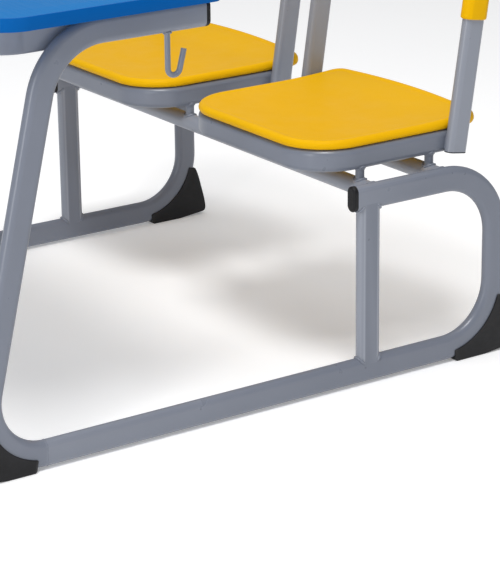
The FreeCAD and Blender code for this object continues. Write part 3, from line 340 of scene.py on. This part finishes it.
def plated_steel():
    """Zinc-plated screws: metal with fine turning marks."""
    nodes = Nodes("plated_steel")
    marks = nodes.noise(2200, 3, 0.6)
    mottle = nodes.spread(nodes.noise(160, 3), 0.3, 0.7)
    body = nodes.mix(mottle, (0.47, 0.47, 0.46, 1), (0.60, 0.60, 0.60, 1))
    nodes.set(Base_Color=body, Roughness=nodes.spread(marks, 0.3, 0.7, 0.24, 0.40), Metallic=1.0)
    nodes.bumps((marks, 0.0001, 0.2))
    return nodes.material


def floor_finish():
    """Pale matt floor with a faint cloud, lifted a little so that its shadows stay soft."""
    nodes = Nodes("studio_floor")
    cloud = nodes.spread(nodes.noise(0.8, 2), 0.3, 0.7)
    tone = nodes.mix(cloud, (0.93, 0.93, 0.93, 1), (0.95, 0.95, 0.95, 1))
    nodes.set(Base_Color=tone, Roughness=0.85, Specular_IOR_Level=0.2)
    nodes.set(Emission_Color=(1.0, 1.0, 1.0, 1), Emission_Strength=0.20)
    return nodes.material


MATERIALS = {
    "frame_paint": powder_coat(),
    "seat_plastic": seat_plastic(),
    "desktop_laminate": desktop_laminate(),
    "edge_plastic": edge_plastic(),
    "black_plastic": black_plastic(),
    "fastener_steel": plated_steel(),
}
WELD = weld_metal()


def dress_cad_nodes():
    """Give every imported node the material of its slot."""
    for subpart in frame["record"]["subparts"]:
        node = frame["nodes"][subpart["node"]]
        node.data.materials.clear()
        node.data.materials.append(MATERIALS[subpart["material_slot"]])


# ---------------------------------------------------------------- seats

def seat_outline(half_x, half_y, inset):
    """Wide round corners at the front, and a bowed rear edge between two tight corners."""
    half = half_x - inset
    deep = half_y - inset
    front = SEAT_FRONT_CORNER - inset
    rear = SEAT_REAR_CORNER - inset
    bow = SEAT_REAR_BOW - inset
    bow_y = deep - bow
    rear_y = bow_y + math.sqrt((bow - rear) ** 2 - (half - rear) ** 2)
    sweep = math.degrees(math.atan2(rear_y - bow_y, half - rear))
    points = []
    for x, y, radius, begin, end, steps in (
        (front - half, front - deep, front, 180, 270, 16),
        (half - front, front - deep, front, 270, 360, 16),
        (half - rear, rear_y, rear, 0, sweep, 8),
        (0, bow_y, bow, sweep, 180 - sweep, 26),
        (rear - half, rear_y, rear, 180 - sweep, 180, 8),
    ):
        first = 1 if begin == sweep or end == 180 else 0
        for step in range(first, steps + 1):
            turn = math.radians(begin + (end - begin) * step / steps)
            points.append((x + radius * math.cos(turn), y + radius * math.sin(turn)))
    return dense_outline(points, SEAT_FRONT_CORNER / 4)


def seat_dish(x, y, half_x, half_y):
    """How far the seat's face sinks below its rim."""
    deepest = 0.0045
    inward_x = 1 - (x / half_x) ** 2
    inward_y = 1 - (y / half_y) ** 2
    hollow = max(0.0, inward_x) * max(0.0, inward_y)
    return deepest * hollow ** 0.8


def seat_lift(y, half_y):
    """How far the seat rises towards the rear: nothing in front, most at its rear edge."""
    along = max(0.0, (y / half_y - SEAT_LIFT_START) / (1 - SEAT_LIFT_START))
    return SEAT_LIFT * along ** 2


def make_seat(side):
    """A seat as one closed skin: dished face, rolled rim, hollow underside and four bosses."""
    node = f"seat_shell_{side}"
    low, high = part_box(node)
    middle_x = (low.x + high.x) / 2
    middle_y = (low.y + high.y) / 2
    bottom = high.z - SEAT_THICK
    half_x = (high.x - low.x) / 2
    half_y = (high.y - low.y) / 2

    def ring(inset, height):
        return [
            Vector((middle_x + x, middle_y + y,
                    bottom + height + seat_lift(y, half_y) * height / SEAT_THICK))
            for x, y in seat_outline(half_x, half_y, inset)
        ]

    edge_roll = 0.0095
    under_roll = 0.0075
    rim_inset = 0.0225
    rim_sink = 0.0013
    roll_base = SEAT_THICK - edge_roll
    profile = [(rim_inset, 0.0090), (0.0215, 0.0020), (0.0205, 0.0004), (0.0190, 0.0)]
    for step in range(7):
        turn = math.radians(90 * step / 6)
        profile.append((under_roll * (1 - math.sin(turn)), roll_base * (1 - math.cos(turn))))
    for step in range(1, 9):
        turn = math.radians(90 * step / 8)
        profile.append((edge_roll * (1 - math.cos(turn)), roll_base + edge_roll * math.sin(turn)))
    profile += [(0.0125, SEAT_THICK - 0.0001), (0.0150, SEAT_THICK - 0.0006), (0.0172, SEAT_THICK - 0.0012)]
    profile += [(0.0195, SEAT_THICK - 0.0014), (rim_inset, SEAT_THICK - rim_sink)]
    rings = [ring(inset, height) for inset, height in profile]
    inner = [(p.x - middle_x, p.y - middle_y) for p in rings[-1]]
    inner_x = max(x for x, _ in inner)
    inner_y = max(y for _, y in inner)
    face_height = bottom + SEAT_THICK - rim_sink
    face_rings = 15
    for step in range(1, face_rings + 1):
        shrink = 1 - step / (face_rings + 0.3)
        rings.append([
            Vector((middle_x + x * shrink, middle_y + y * shrink,
                    face_height + seat_lift(y * shrink, half_y)
                    - seat_dish(x * shrink, y * shrink, inner_x, inner_y)))
            for x, y in inner
        ])
    under = [(p.x - middle_x, p.y - middle_y) for p in rings[0]]
    ceiling = bottom + SEAT_THICK - SEAT_SKIN - 0.001
    cavity = []
    cavity_rings = 14
    for step in range(cavity_rings, 0, -1):
        shrink = 1 - step / (cavity_rings + 0.3)
        cavity.append([
            Vector((middle_x + x * shrink, middle_y + y * shrink,
                    ceiling + seat_lift(y * shrink, half_y)
                    - seat_dish(x * shrink, y * shrink, inner_x, inner_y)))
            for x, y in under
        ])
    shape = Shape()
    shape.loft(cavity + rings)
    add_seat_bosses(shape, side, middle_x, middle_y, low.z, ceiling)
    seat = shape.piece(f"seat_{side}", MATERIALS["seat_plastic"], "seat_plastic", 40)
    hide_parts(node)


def add_seat_bosses(shape, side, middle_x, middle_y, foot, ceiling):
    """The round bosses under a seat, which stand on the tabs."""
    tab_low, tab_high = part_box(f"seat_tabs_{side}")
    boss_radius = 0.007
    sides = 24
    row = (tab_high.y - tab_low.y) / 2 - 0.015
    reach = (tab_high.x - tab_low.x) / 2 - 0.014
    for sign_x in (-1, 1):
        for sign_y in (-1, 1):
            rings = []
            for radius, height in (
                (boss_radius - 0.0008, foot),
                (boss_radius - 0.0002, foot + 0.0003),
                (boss_radius, foot + 0.001),
                (boss_radius + 0.0003, ceiling - 0.0015),
                (boss_radius + 0.0015, ceiling + 0.0005),
            ):
                rings.append([
                    Vector((middle_x + sign_x * reach + radius * math.cos(turn),
                            middle_y + sign_y * row + radius * math.sin(turn), height))
                    for turn in (2 * math.pi * step / sides for step in range(sides))
                ])
            shape.loft(rings)


# ---------------------------------------------------------------- backrests

def smooth_max(first, second, blend):
    """The larger of two values, with a round join of the given size."""
    gap = max(blend - abs(first - second), 0.0) / blend
    return max(first, second) + gap * gap * blend * 0.25


def make_backrest(side):
    """Curved panel and two sleeves, moulded as one: a front and a rear face over one outline."""
    node = f"backrest_{side}"
    post_low, post_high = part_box(f"{side}_seat_post_right")
    other_low, other_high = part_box(f"{side}_seat_post_left")
    middle_x = (post_low.x + post_high.x + other_low.x + other_high.x) / 4
    post_x = (post_low.x + post_high.x) / 2 - middle_x
    foot_y = post_low.y + POST_HALF * math.cos(POST_LEAN)
    foot_z = post_low.z + POST_HALF * math.sin(POST_LEAN)
    origin = Vector((middle_x,
                     foot_y + SLEEVE_FOOT * math.sin(POST_LEAN),
                     foot_z + SLEEVE_FOOT * math.cos(POST_LEAN)))

    round_size = POST_ROUND + SLEEVE_WALL
    straight = POST_HALF - POST_ROUND
    mouth_round = 0.0036
    half_wide = post_x + round_size
    top_corner = 0.045
    arch = 0.045
    arch_corner = 0.035
    panel_edge = post_x - round_size - 0.003
    bulge = 1.013
    panel_skin = 0.0045
    panel_middle = 0.0185
    sleeve_fall = 8             # how steeply a sleeve's depth falls away beside it
    crown_rise = 0.002
    join_round = 0.007

    def place(x, y, z):
        return origin + Vector((x, y * math.cos(POST_LEAN) + z * math.sin(POST_LEAN),
                                z * math.cos(POST_LEAN) - y * math.sin(POST_LEAN)))

    def sleeve(x):
        """Half the depth of a sleeve at x, falling steeply beside it."""
        off = abs(abs(x) - post_x)
        if off <= round_size:
            return straight + math.sqrt(round_size ** 2 - off ** 2)
        return straight - (off - round_size) * sleeve_fall

    def top_at(x):
        over = abs(x) - (half_wide - top_corner)
        top = BACK_HEIGHT - crown_rise + crown_rise * (1 - (x / half_wide) ** 2)
        if over <= 0:
            return top
        return top - top_corner + math.sqrt(max(top_corner ** 2 - over ** 2, 0))

    def bottom_at(x):
        if abs(x) >= post_x - round_size:
            return 0.0
        over = abs(x) - (panel_edge - arch_corner)
        if over <= 0:
            return arch
        fall = math.sqrt(max(arch_corner ** 2 - over ** 2, 0))
        return arch - arch_corner + fall

    def panel(x):
        """The panel's middle surface: bowed back in the middle."""
        return panel_middle - bulge + math.sqrt(bulge ** 2 - x ** 2)

    spread_turns = [math.radians(-90 + 180 * step / 22) for step in range(23)]
    right_sleeve = [post_x + round_size * math.sin(turn) for turn in spread_turns]
    inner_edge = post_x - round_size
    gaps = [inner_edge - 0.0006 * step ** 1.6 for step in range(1, 9)]
    last_gap = gaps[-1]
    across = [last_gap * (1 - 2 * step / 46) for step in range(47)]
    columns = [-x for x in reversed(right_sleeve)] + [-x for x in gaps] + [-x for x in across[1:-1]]
    columns += [x for x in reversed(gaps)] + right_sleeve
    columns = sorted(set(round(x, 7) for x in columns))

    rows = 44
    lifts = []
    for row in range(rows + 1):
        part = row / rows
        lifts.append(0.5 - 0.5 * math.cos(math.pi * part) if part not in (0, 1) else part)

    front = []
    rear = []
    for x in columns:
        low, high = bottom_at(x), top_at(x)
        front_column = []
        rear_column = []
        is_sleeve = abs(x) >= inner_edge
        for lift in lifts:
            z = low + (high - low) * lift
            front_depth = smooth_max(sleeve(x), -(panel(x) - panel_skin), join_round)
            rear_depth = smooth_max(sleeve(x), panel(x) + panel_skin, join_round)
            middle = (rear_depth - front_depth) / 2
            half = (rear_depth + front_depth) / 2
            top_round = min(0.012, half)
            near_top = min((high - z) / top_round, 1.0)
            squeeze = math.sqrt(max(1 - (1 - near_top) ** 2, 0))
            if not is_sleeve:
                foot_round = min(0.0045, half)
                near_foot = min((z - low) / foot_round, 1.0)
                squeeze = min(squeeze, 0.25 + 0.75 * math.sqrt(max(1 - (1 - near_foot) ** 2, 0)))
            else:
                below = max(1 - z / mouth_round, 0)
                lip = mouth_round * (1 - math.sqrt(1 - below ** 2))
                squeeze = squeeze * (half - lip) / half
            nearer = math.copysign(post_x, x)
            slim = 1 - lip / round_size if is_sleeve else 1
            x_here = nearer + (x - nearer) * slim
            front_column.append(place(x_here, middle - half * squeeze, z))
            rear_column.append(place(x_here, middle + half * squeeze, z))
        front.append(front_column)
        rear.append(rear_column)

    vertices = []
    faces = []

    def index_of(face, column, row):
        return (face * len(columns) + column) * (rows + 1) + row

    for grid in (front, rear):
        for column in grid:
            vertices.extend(column)
    for face in (0, 1):
        for column in range(len(columns) - 1):
            for row in range(rows):
                quad = (index_of(face, column, row), index_of(face, column + 1, row),
                        index_of(face, column + 1, row + 1), index_of(face, column, row + 1))
                faces.append(quad if face == 0 else quad[::-1])
    for column in range(len(columns) - 1):
        outer_left = columns[column + 1] <= -inner_edge + 1e-6
        outer_right = columns[column] >= inner_edge - 1e-6
        if not (outer_left or outer_right):
            faces.append((index_of(0, column, 0), index_of(1, column, 0),
                          index_of(1, column + 1, 0), index_of(0, column + 1, 0)))
    for column in (0, len(columns) - 1):
        for row in range(rows):
            quad = (index_of(0, column, row), index_of(0, column, row + 1),
                    index_of(1, column, row + 1), index_of(1, column, row))
            faces.append(quad if column == 0 else quad[::-1])

    for sign in (-1, 1):
        members = [i for i, x in enumerate(columns) if sign * x >= inner_edge - 1e-6]
        loop = [index_of(0, i, 0) for i in members] + [index_of(1, i, 0) for i in reversed(members)]
        add_sleeve_mouth(vertices, faces, loop, place, sign * post_x, straight)

    back = make_piece(f"backrest_{side}_shell", vertices, faces,
                      MATERIALS["seat_plastic"], 45)
    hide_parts(node)


def add_sleeve_mouth(vertices, faces, loop, place, sleeve_x, straight):
    """The open lower end of a sleeve: a lip, then the bore that the tube fills."""
    bore = POST_ROUND + 0.0002
    steps = len(loop)
    inner = []
    upper = []
    for height, store in ((0.0, inner), (0.014, upper)):
        for index in loop:
            offset = local_of(vertices[index], place)
            x = offset.x - sleeve_x
            core = max(-straight, min(straight, offset.y))
            away = Vector((x, offset.y - core))
            if away.length < 1e-9:
                away = Vector((1, 0))
            away.normalize()
            store.append(len(vertices))
            vertices.append(place(sleeve_x + away.x * bore, core + away.y * bore, height))
    for here in range(steps):
        there = (here + 1) % steps
        faces.append((loop[here], loop[there], inner[there], inner[here]))
        faces.append((inner[here], inner[there], upper[there], upper[here]))
    faces.append(tuple(upper))


def local_of(point, place):
    """A placed point's own coordinates in its backrest's leaning frame."""
    offset = point - place(0, 0, 0)
    return Vector((offset.x, offset.y * math.cos(POST_LEAN) - offset.z * math.sin(POST_LEAN),
                   offset.y * math.sin(POST_LEAN) + offset.z * math.cos(POST_LEAN)))


# ---------------------------------------------------------------- desk top

def make_desktop():
    """The board, and the band round its edge, each with its edges slightly rounded."""
    low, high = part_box("desktop_edge_band")
    middle_y = (low.y + high.y) / 2
    half_x = (high.x - low.x) / 2
    half_y = (high.y - low.y) / 2

    def ring(inset, z):
        outline = corner_outline(half_x - inset, half_y - inset,
                                 TOP_FRONT_CORNER - inset, TOP_BACK_CORNER - inset, 18)
        return [Vector((x, middle_y + y, z)) for x, y in dense_outline(outline, 0.05)]

    band = Shape()
    section = [(BAND_THICK, low.z), (0.0010, low.z), (0.0003, low.z + 0.0003), (0.0, low.z + 0.0010)]
    section += [(0.0, high.z - 0.0012), (0.00035, high.z - 0.00035), (0.0012, high.z - 0.0001)]
    section += [(BAND_THICK, high.z - 0.0001)]
    band.loft([ring(inset, z) for inset, z in section], closed=True)
    edge = band.piece("desktop_band", MATERIALS["edge_plastic"], "edge_plastic", 40)
    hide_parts("desktop_edge_band")

    board = Shape()
    inset = BAND_THICK
    board.loft([
        ring(inset, low.z),
        ring(inset, high.z - 0.0004),
        ring(inset + 0.00015, high.z - 0.0001),
        ring(inset + 0.0006, high.z),
    ])
    top = board.piece("desktop_top", MATERIALS["desktop_laminate"], "desktop_laminate", 40)
    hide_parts("desktop_board")


# ---------------------------------------------------------------- shoes

def make_shoe(end, side):
    """A wedge shoe that wraps the outside of a lower bend, open inwards for the tube."""
    node = f"{end}_shoe_{side}"
    low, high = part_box(node)
    middle_x = (low.x + high.x) / 2
    sign = 1 if end == "rear" else -1
    bend = REAR_BEND if end == "rear" else FOOT_BEND
    toe_reach = 0.022
    heel = high.y if sign > 0 else low.y
    toe = low.y if sign > 0 else high.y
    centre_y = toe - sign * toe_reach
    centre_z = RAIL_MIDDLE + bend
    reach = abs(heel - centre_y)
    outer_half = (high.x - low.x) / 2
    channel = TUBE_ROUND + 0.0001
    tube_outer = bend + 2 * TUBE_ROUND
    inner = tube_outer - 0.0165

    outline = [(0.0, 0.0), (reach * 0.58, 0.0), (reach - 0.004, 0.0065), (reach - 0.0005, 0.0115),
               (reach, 0.018), (reach - 0.003, 0.036), (reach - 0.0150, 0.082), (reach - 0.0205, 0.0985),
               (reach - 0.0300, 0.1065)]

    def outer_at(turn):
        """How far the shoe reaches from the bend's middle, at an angle below the level."""
        ahead = Vector((math.cos(turn), -math.sin(turn)))
        for (y, z), (next_y, next_z) in zip(outline, outline[1:]):
            start = Vector((y, z - centre_z))
            step = Vector((next_y - y, next_z - z))
            cross = ahead.x * step.y - ahead.y * step.x
            if abs(cross) < 1e-12:
                continue
            far = (start.x * step.y - start.y * step.x) / cross
            along = (start.x * ahead.y - start.y * ahead.x) / cross
            if far > 0 and -1e-6 <= along <= 1 + 1e-6:
                return far
        return tube_outer + 0.003

    first = math.atan2(centre_z - RAIL_MIDDLE + 0.020, toe_reach)
    last = math.asin((centre_z - 0.1045) / (tube_outer + 0.004))
    count = 56
    end_round = 0.003
    rings = []
    for step in range(count + 1):
        part = step / count
        turn = first + (last - first) * part
        near_end = min(part, 1 - part) * abs(first - last) * tube_outer
        shrink = end_round - math.sqrt(max(end_round ** 2 - max(end_round - near_end, 0) ** 2, 0))
        outer = max(outer_at(turn), tube_outer + 0.0025) - shrink * 0.6
        rings.append(shoe_section(middle_x, centre_y, centre_z, sign, turn, inner + shrink * 0.4, outer,
                                  outer_half - shrink * 0.5, channel, bend))
    shape = Shape()
    shape.loft(rings)
    shoe = shape.piece(f"shoe_{end}_{side}", MATERIALS["black_plastic"], "black_plastic", 38)
    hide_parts(node)


def shoe_section(middle_x, centre_y, centre_z, sign, turn, inner, outer, half, channel, bend):
    """One section through a shoe: an upright U whose inside follows the tube."""
    ahead_y = sign * math.cos(turn)
    ahead_z = -math.sin(turn)
    corner = 0.0028
    lip = 0.0009
    points = [(-half + lip, inner), (-half, inner + lip)]
    for step in range(5):
        angle = math.radians(90 * step / 4)
        points.append((-half + corner * (1 - math.cos(angle)), outer - corner + corner * math.sin(angle)))
    for step in range(4, -1, -1):
        angle = math.radians(90 * step / 4)
        points.append((half - corner * (1 - math.cos(angle)), outer - corner + corner * math.sin(angle)))
    points += [(half, inner + lip), (half - lip, inner)]
    points += [(channel + lip * 0.5, inner), (channel, inner + lip * 0.5)]
    straight = bend + TUBE_ROUND
    for step in range(13):
        angle = math.radians(180 * step / 12)
        points.append((channel * math.cos(angle), straight + channel * math.sin(angle)))
    points += [(-channel, inner + lip * 0.5), (-channel - lip * 0.5, inner)]
    return [
        Vector((middle_x + across, centre_y + ahead_y * far, centre_z + ahead_z * far))
        for across, far in points
    ]


# ---------------------------------------------------------------- welds

def add_standoff_welds(shape, side):
    """Fillets round both ends of each standoff."""
    ring_low, ring_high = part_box(f"seat_ring_{side}")
    standoff_radius = 0.008
    ring_half = 0.010
    around = 64
    for beam in ("front_seat_beam", "rear_seat_beam"):
        beam_low, beam_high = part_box(beam)
        beam_y = (beam_low.y + beam_high.y) / 2
        beam_z = (beam_low.z + beam_high.z) / 2
        beam_radius = (beam_high.z - beam_low.z) / 2
        for x in (ring_low.x + ring_half, ring_high.x - ring_half):
            foot = []
            head = []
            for step in range(around):
                turn = 2 * math.pi * step / around
                away = standoff_radius + 0.0030
                dx = away * math.cos(turn)
                dy = away * math.sin(turn)
                beam_top = beam_z + math.sqrt(beam_radius ** 2 - dy ** 2)
                foot.append(Vector((x + dx, beam_y + dy, beam_top + 0.0008)))
                away = standoff_radius + 0.0006
                dx = away * math.cos(turn)
                dy = away * math.sin(turn)
                rise = ring_half - math.sqrt(max(ring_half ** 2 - dx ** 2, 0))
                head.append(Vector((x + dx, beam_y + dy, ring_low.z + rise - 0.0004)))
            bead_along(shape, foot, radius=0.0019, closed=True)
            bead_along(shape, head, radius=0.0018, closed=True)


def add_post_welds(shape, side):
    """Upright beads where a seat ring meets its two posts."""
    ring_low, ring_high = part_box(f"seat_ring_{side}")
    ring_middle = (ring_low.z + ring_high.z) / 2
    weld_half = 0.0135
    weld_off = 0.0150
    for hand, sign in SIDES.items():
        low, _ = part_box(f"{side}_seat_post_{hand}")
        face_x = ring_high.x if sign > 0 else ring_low.x
        foot_y = low.y + POST_HALF * math.cos(POST_LEAN)
        foot_z = low.z + POST_HALF * math.sin(POST_LEAN)
        for edge in (-1, 1):
            points = []
            for step in range(29):
                z = ring_middle + weld_half * (2 * step / 28 - 1)
                middle_y = foot_y + (z - foot_z) * math.tan(POST_LEAN)
                points.append(Vector((face_x + sign * 0.0004, middle_y + edge * weld_off, z)))
            bead_along(shape, points, radius=0.0024, closed=False)


def rail_surface(off):
    """How far in from its flat side a flat-oval tube's surface lies, off its middle line."""
    over = max(abs(off) - TUBE_ROUND, 0)
    return TUBE_ROUND - math.sqrt(max(TUBE_ROUND ** 2 - over ** 2, 0))


def add_beam_welds(shape):
    """Beads round the cross tubes' ends, on the side frames' inner faces."""
    seat_low, seat_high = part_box("seat_frame_right")
    rail_middle = seat_high.z - 2 * TUBE_ROUND
    for beam in ("front_seat_beam", "rear_seat_beam", "foot_stretcher"):
        low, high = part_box(beam)
        middle_y = (low.y + high.y) / 2
        middle_z = (low.z + high.z) / 2
        radius = (high.z - low.z) / 2
        bead_off = radius + 0.0006
        for sign in (-1, 1):
            points = []
            for step in range(84):
                turn = 2 * math.pi * step / 84
                y = middle_y + bead_off * math.sin(turn)
                z = middle_z + bead_off * math.cos(turn)
                inward = 0 if beam == "foot_stretcher" else rail_surface(z - rail_middle)
                points.append(Vector((sign * (seat_low.x + inward - 0.0004), y, z)))
            bead_along(shape, points, radius=0.0021, closed=True)


def add_leg_welds(shape, side):
    """Beads across the front and rear of an upright leg, where it meets the two rails."""
    leg_low, leg_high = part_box(f"front_leg_{side}")
    middle_x = (leg_low.x + leg_high.x) / 2
    frame_low, frame_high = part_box(f"seat_frame_{side}")
    half = TUBE_ROUND
    for rail_z, sign in ((frame_high.z - 2 * half, -1), (frame_low.z + 2 * half, 1)):
        for y, out in ((leg_low.y, -1), (leg_high.y, 1)):
            points = []
            for step in range(25):
                turn = math.radians(-82 + 164 * step / 24)
                x = half * math.sin(turn)
                rail = half + math.sqrt(half ** 2 - x ** 2)
                leg_in = half - math.sqrt(half ** 2 - x ** 2)
                points.append(Vector((middle_x + x,
                                      y - out * leg_in + out * 0.0008,
                                      rail_z + sign * (rail + 0.0008))))
            bead_along(shape, points, radius=0.0028, closed=False)


def add_butt_weld(shape, side):
    """The ground seam round the bottom rail, where the two bent tubes meet."""
    low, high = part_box(f"seat_frame_{side}")
    middle_x = (low.x + high.x) / 2
    middle_z = low.z + 2 * TUBE_ROUND
    bead_off = TUBE_ROUND - 0.0003
    points = []
    for sign, begin in ((1, 0), (-1, 180)):
        for step in range(25):
            turn = math.radians(begin + 180 * step / 24)
            points.append(Vector((middle_x + bead_off * math.cos(turn), low.y,
                                  middle_z + sign * TUBE_ROUND + bead_off * math.sin(turn))))
    bead_along(shape, points, radius=0.0009, closed=True)


def add_hook_weld(shape, side):
    """A bead round the hook's bar, under the desk rail."""
    low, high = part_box(f"bag_hook_{side}")
    _, rail_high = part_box(f"desk_frame_{side}")
    middle_x = (low.x + high.x) / 2
    bar = 0.00475
    bead_off = bar + 0.0010
    bar_y = low.y + bar
    rail_z = rail_high.z - 4 * TUBE_ROUND
    points = []
    for step in range(44):
        turn = 2 * math.pi * step / 44
        dx = bead_off * math.cos(turn)
        dy = bead_off * math.sin(turn)
        rise = TUBE_ROUND - math.sqrt(TUBE_ROUND ** 2 - dx ** 2)
        points.append(Vector((middle_x + dx, bar_y + dy, rail_z + rise - 0.0010)))
    bead_along(shape, points, radius=0.0021, closed=True)


def make_welds():
    """All weld beads, in one piece for the seat rings and one for the frame."""
    seat_welds = Shape()
    frame_welds = Shape()
    add_beam_welds(frame_welds)
    for side in SIDES:
        add_standoff_welds(seat_welds, side)
        add_post_welds(seat_welds, side)
        add_leg_welds(frame_welds, side)
        add_butt_weld(frame_welds, side)
        add_hook_weld(frame_welds, side)
    seat_welds.piece("seat_weld_beads", WELD, "frame_paint", 60)
    frame_welds.piece("frame_weld_beads", WELD, "frame_paint", 60)


# ---------------------------------------------------------------- stage

def make_floor():
    half = 14.0
    builder = bmesh.new()
    bmesh.ops.create_grid(builder, x_segments=8, y_segments=8, size=half)
    mesh = bpy.data.meshes.new("studio_floor")
    builder.to_mesh(mesh)
    builder.free()
    mesh.materials.append(floor_finish())
    floor = bpy.data.objects.new("studio_floor", mesh)
    bpy.context.scene.collection.objects.link(floor)


def make_light(name, place, target, width, height, power):
    lamp = bpy.data.lights.new(name, "AREA")
    lamp.shape = "RECTANGLE"
    lamp.size = width
    lamp.size_y = height
    lamp.energy = power
    light = bpy.data.objects.new(name, lamp)
    light.location = place
    light.rotation_euler = (Vector(target) - Vector(place)).to_track_quat("-Z", "Y").to_euler()
    bpy.context.scene.collection.objects.link(light)


def make_lights():
    world = bpy.data.worlds.new("studio")
    bpy.context.scene.world = world
    world.use_nodes = True
    background = world.node_tree.nodes["Background"]
    background.inputs["Color"].default_value = (0.96, 0.97, 1.0, 1)
    background.inputs["Strength"].default_value = 0.34
    middle = (0.0, 0.0, 0.4)
    desk_leg = (0.5, -0.4, 0.45)
    make_light("key_light", (2.6, -1.6, 7.0), middle, width=2.2, height=2.2, power=305)
    make_light("overhead_light", (-0.4, 0.2, 3.6), middle, width=3.0, height=3.0, power=36)
    make_light("front_light", (1.5, -2.5, 0.9), desk_leg, width=0.35, height=1.4, power=16)


def make_camera():
    """The camera's own axes, from its azimuth, its tilt down and its roll, with no shift."""
    camera = bpy.data.objects.new("camera", bpy.data.cameras.new("camera"))
    azimuth = math.radians(CAMERA_AZIMUTH)
    down = math.radians(CAMERA_DOWN)
    back = Vector((math.sin(azimuth) * math.cos(down), -math.cos(azimuth) * math.cos(down), math.sin(down)))
    right = (-back).cross(Vector((0, 0, 1))).normalized()
    upward = back.cross(right)
    roll = math.radians(CAMERA_ROLL)
    tilted_right = right * math.cos(roll) + upward * math.sin(roll)
    tilted_up = upward * math.cos(roll) - right * math.sin(roll)
    turn = Matrix((tilted_right, tilted_up, back)).transposed()
    camera.matrix_world = Matrix.Translation(CAMERA_PLACE) @ turn.to_4x4()
    camera.data.lens = CAMERA_LENS
    camera.data.clip_end = 60
    bpy.context.scene.collection.objects.link(camera)
    bpy.context.scene.camera = camera


make_camera()
dress_cad_nodes()
make_desktop()
for side in SIDES:
    make_seat(side)
    make_backrest(side)
    for end in ("front", "rear"):
        make_shoe(end, side)
make_welds()
make_floor()
make_lights()
bpy.context.scene.view_settings.view_transform = "Standard"
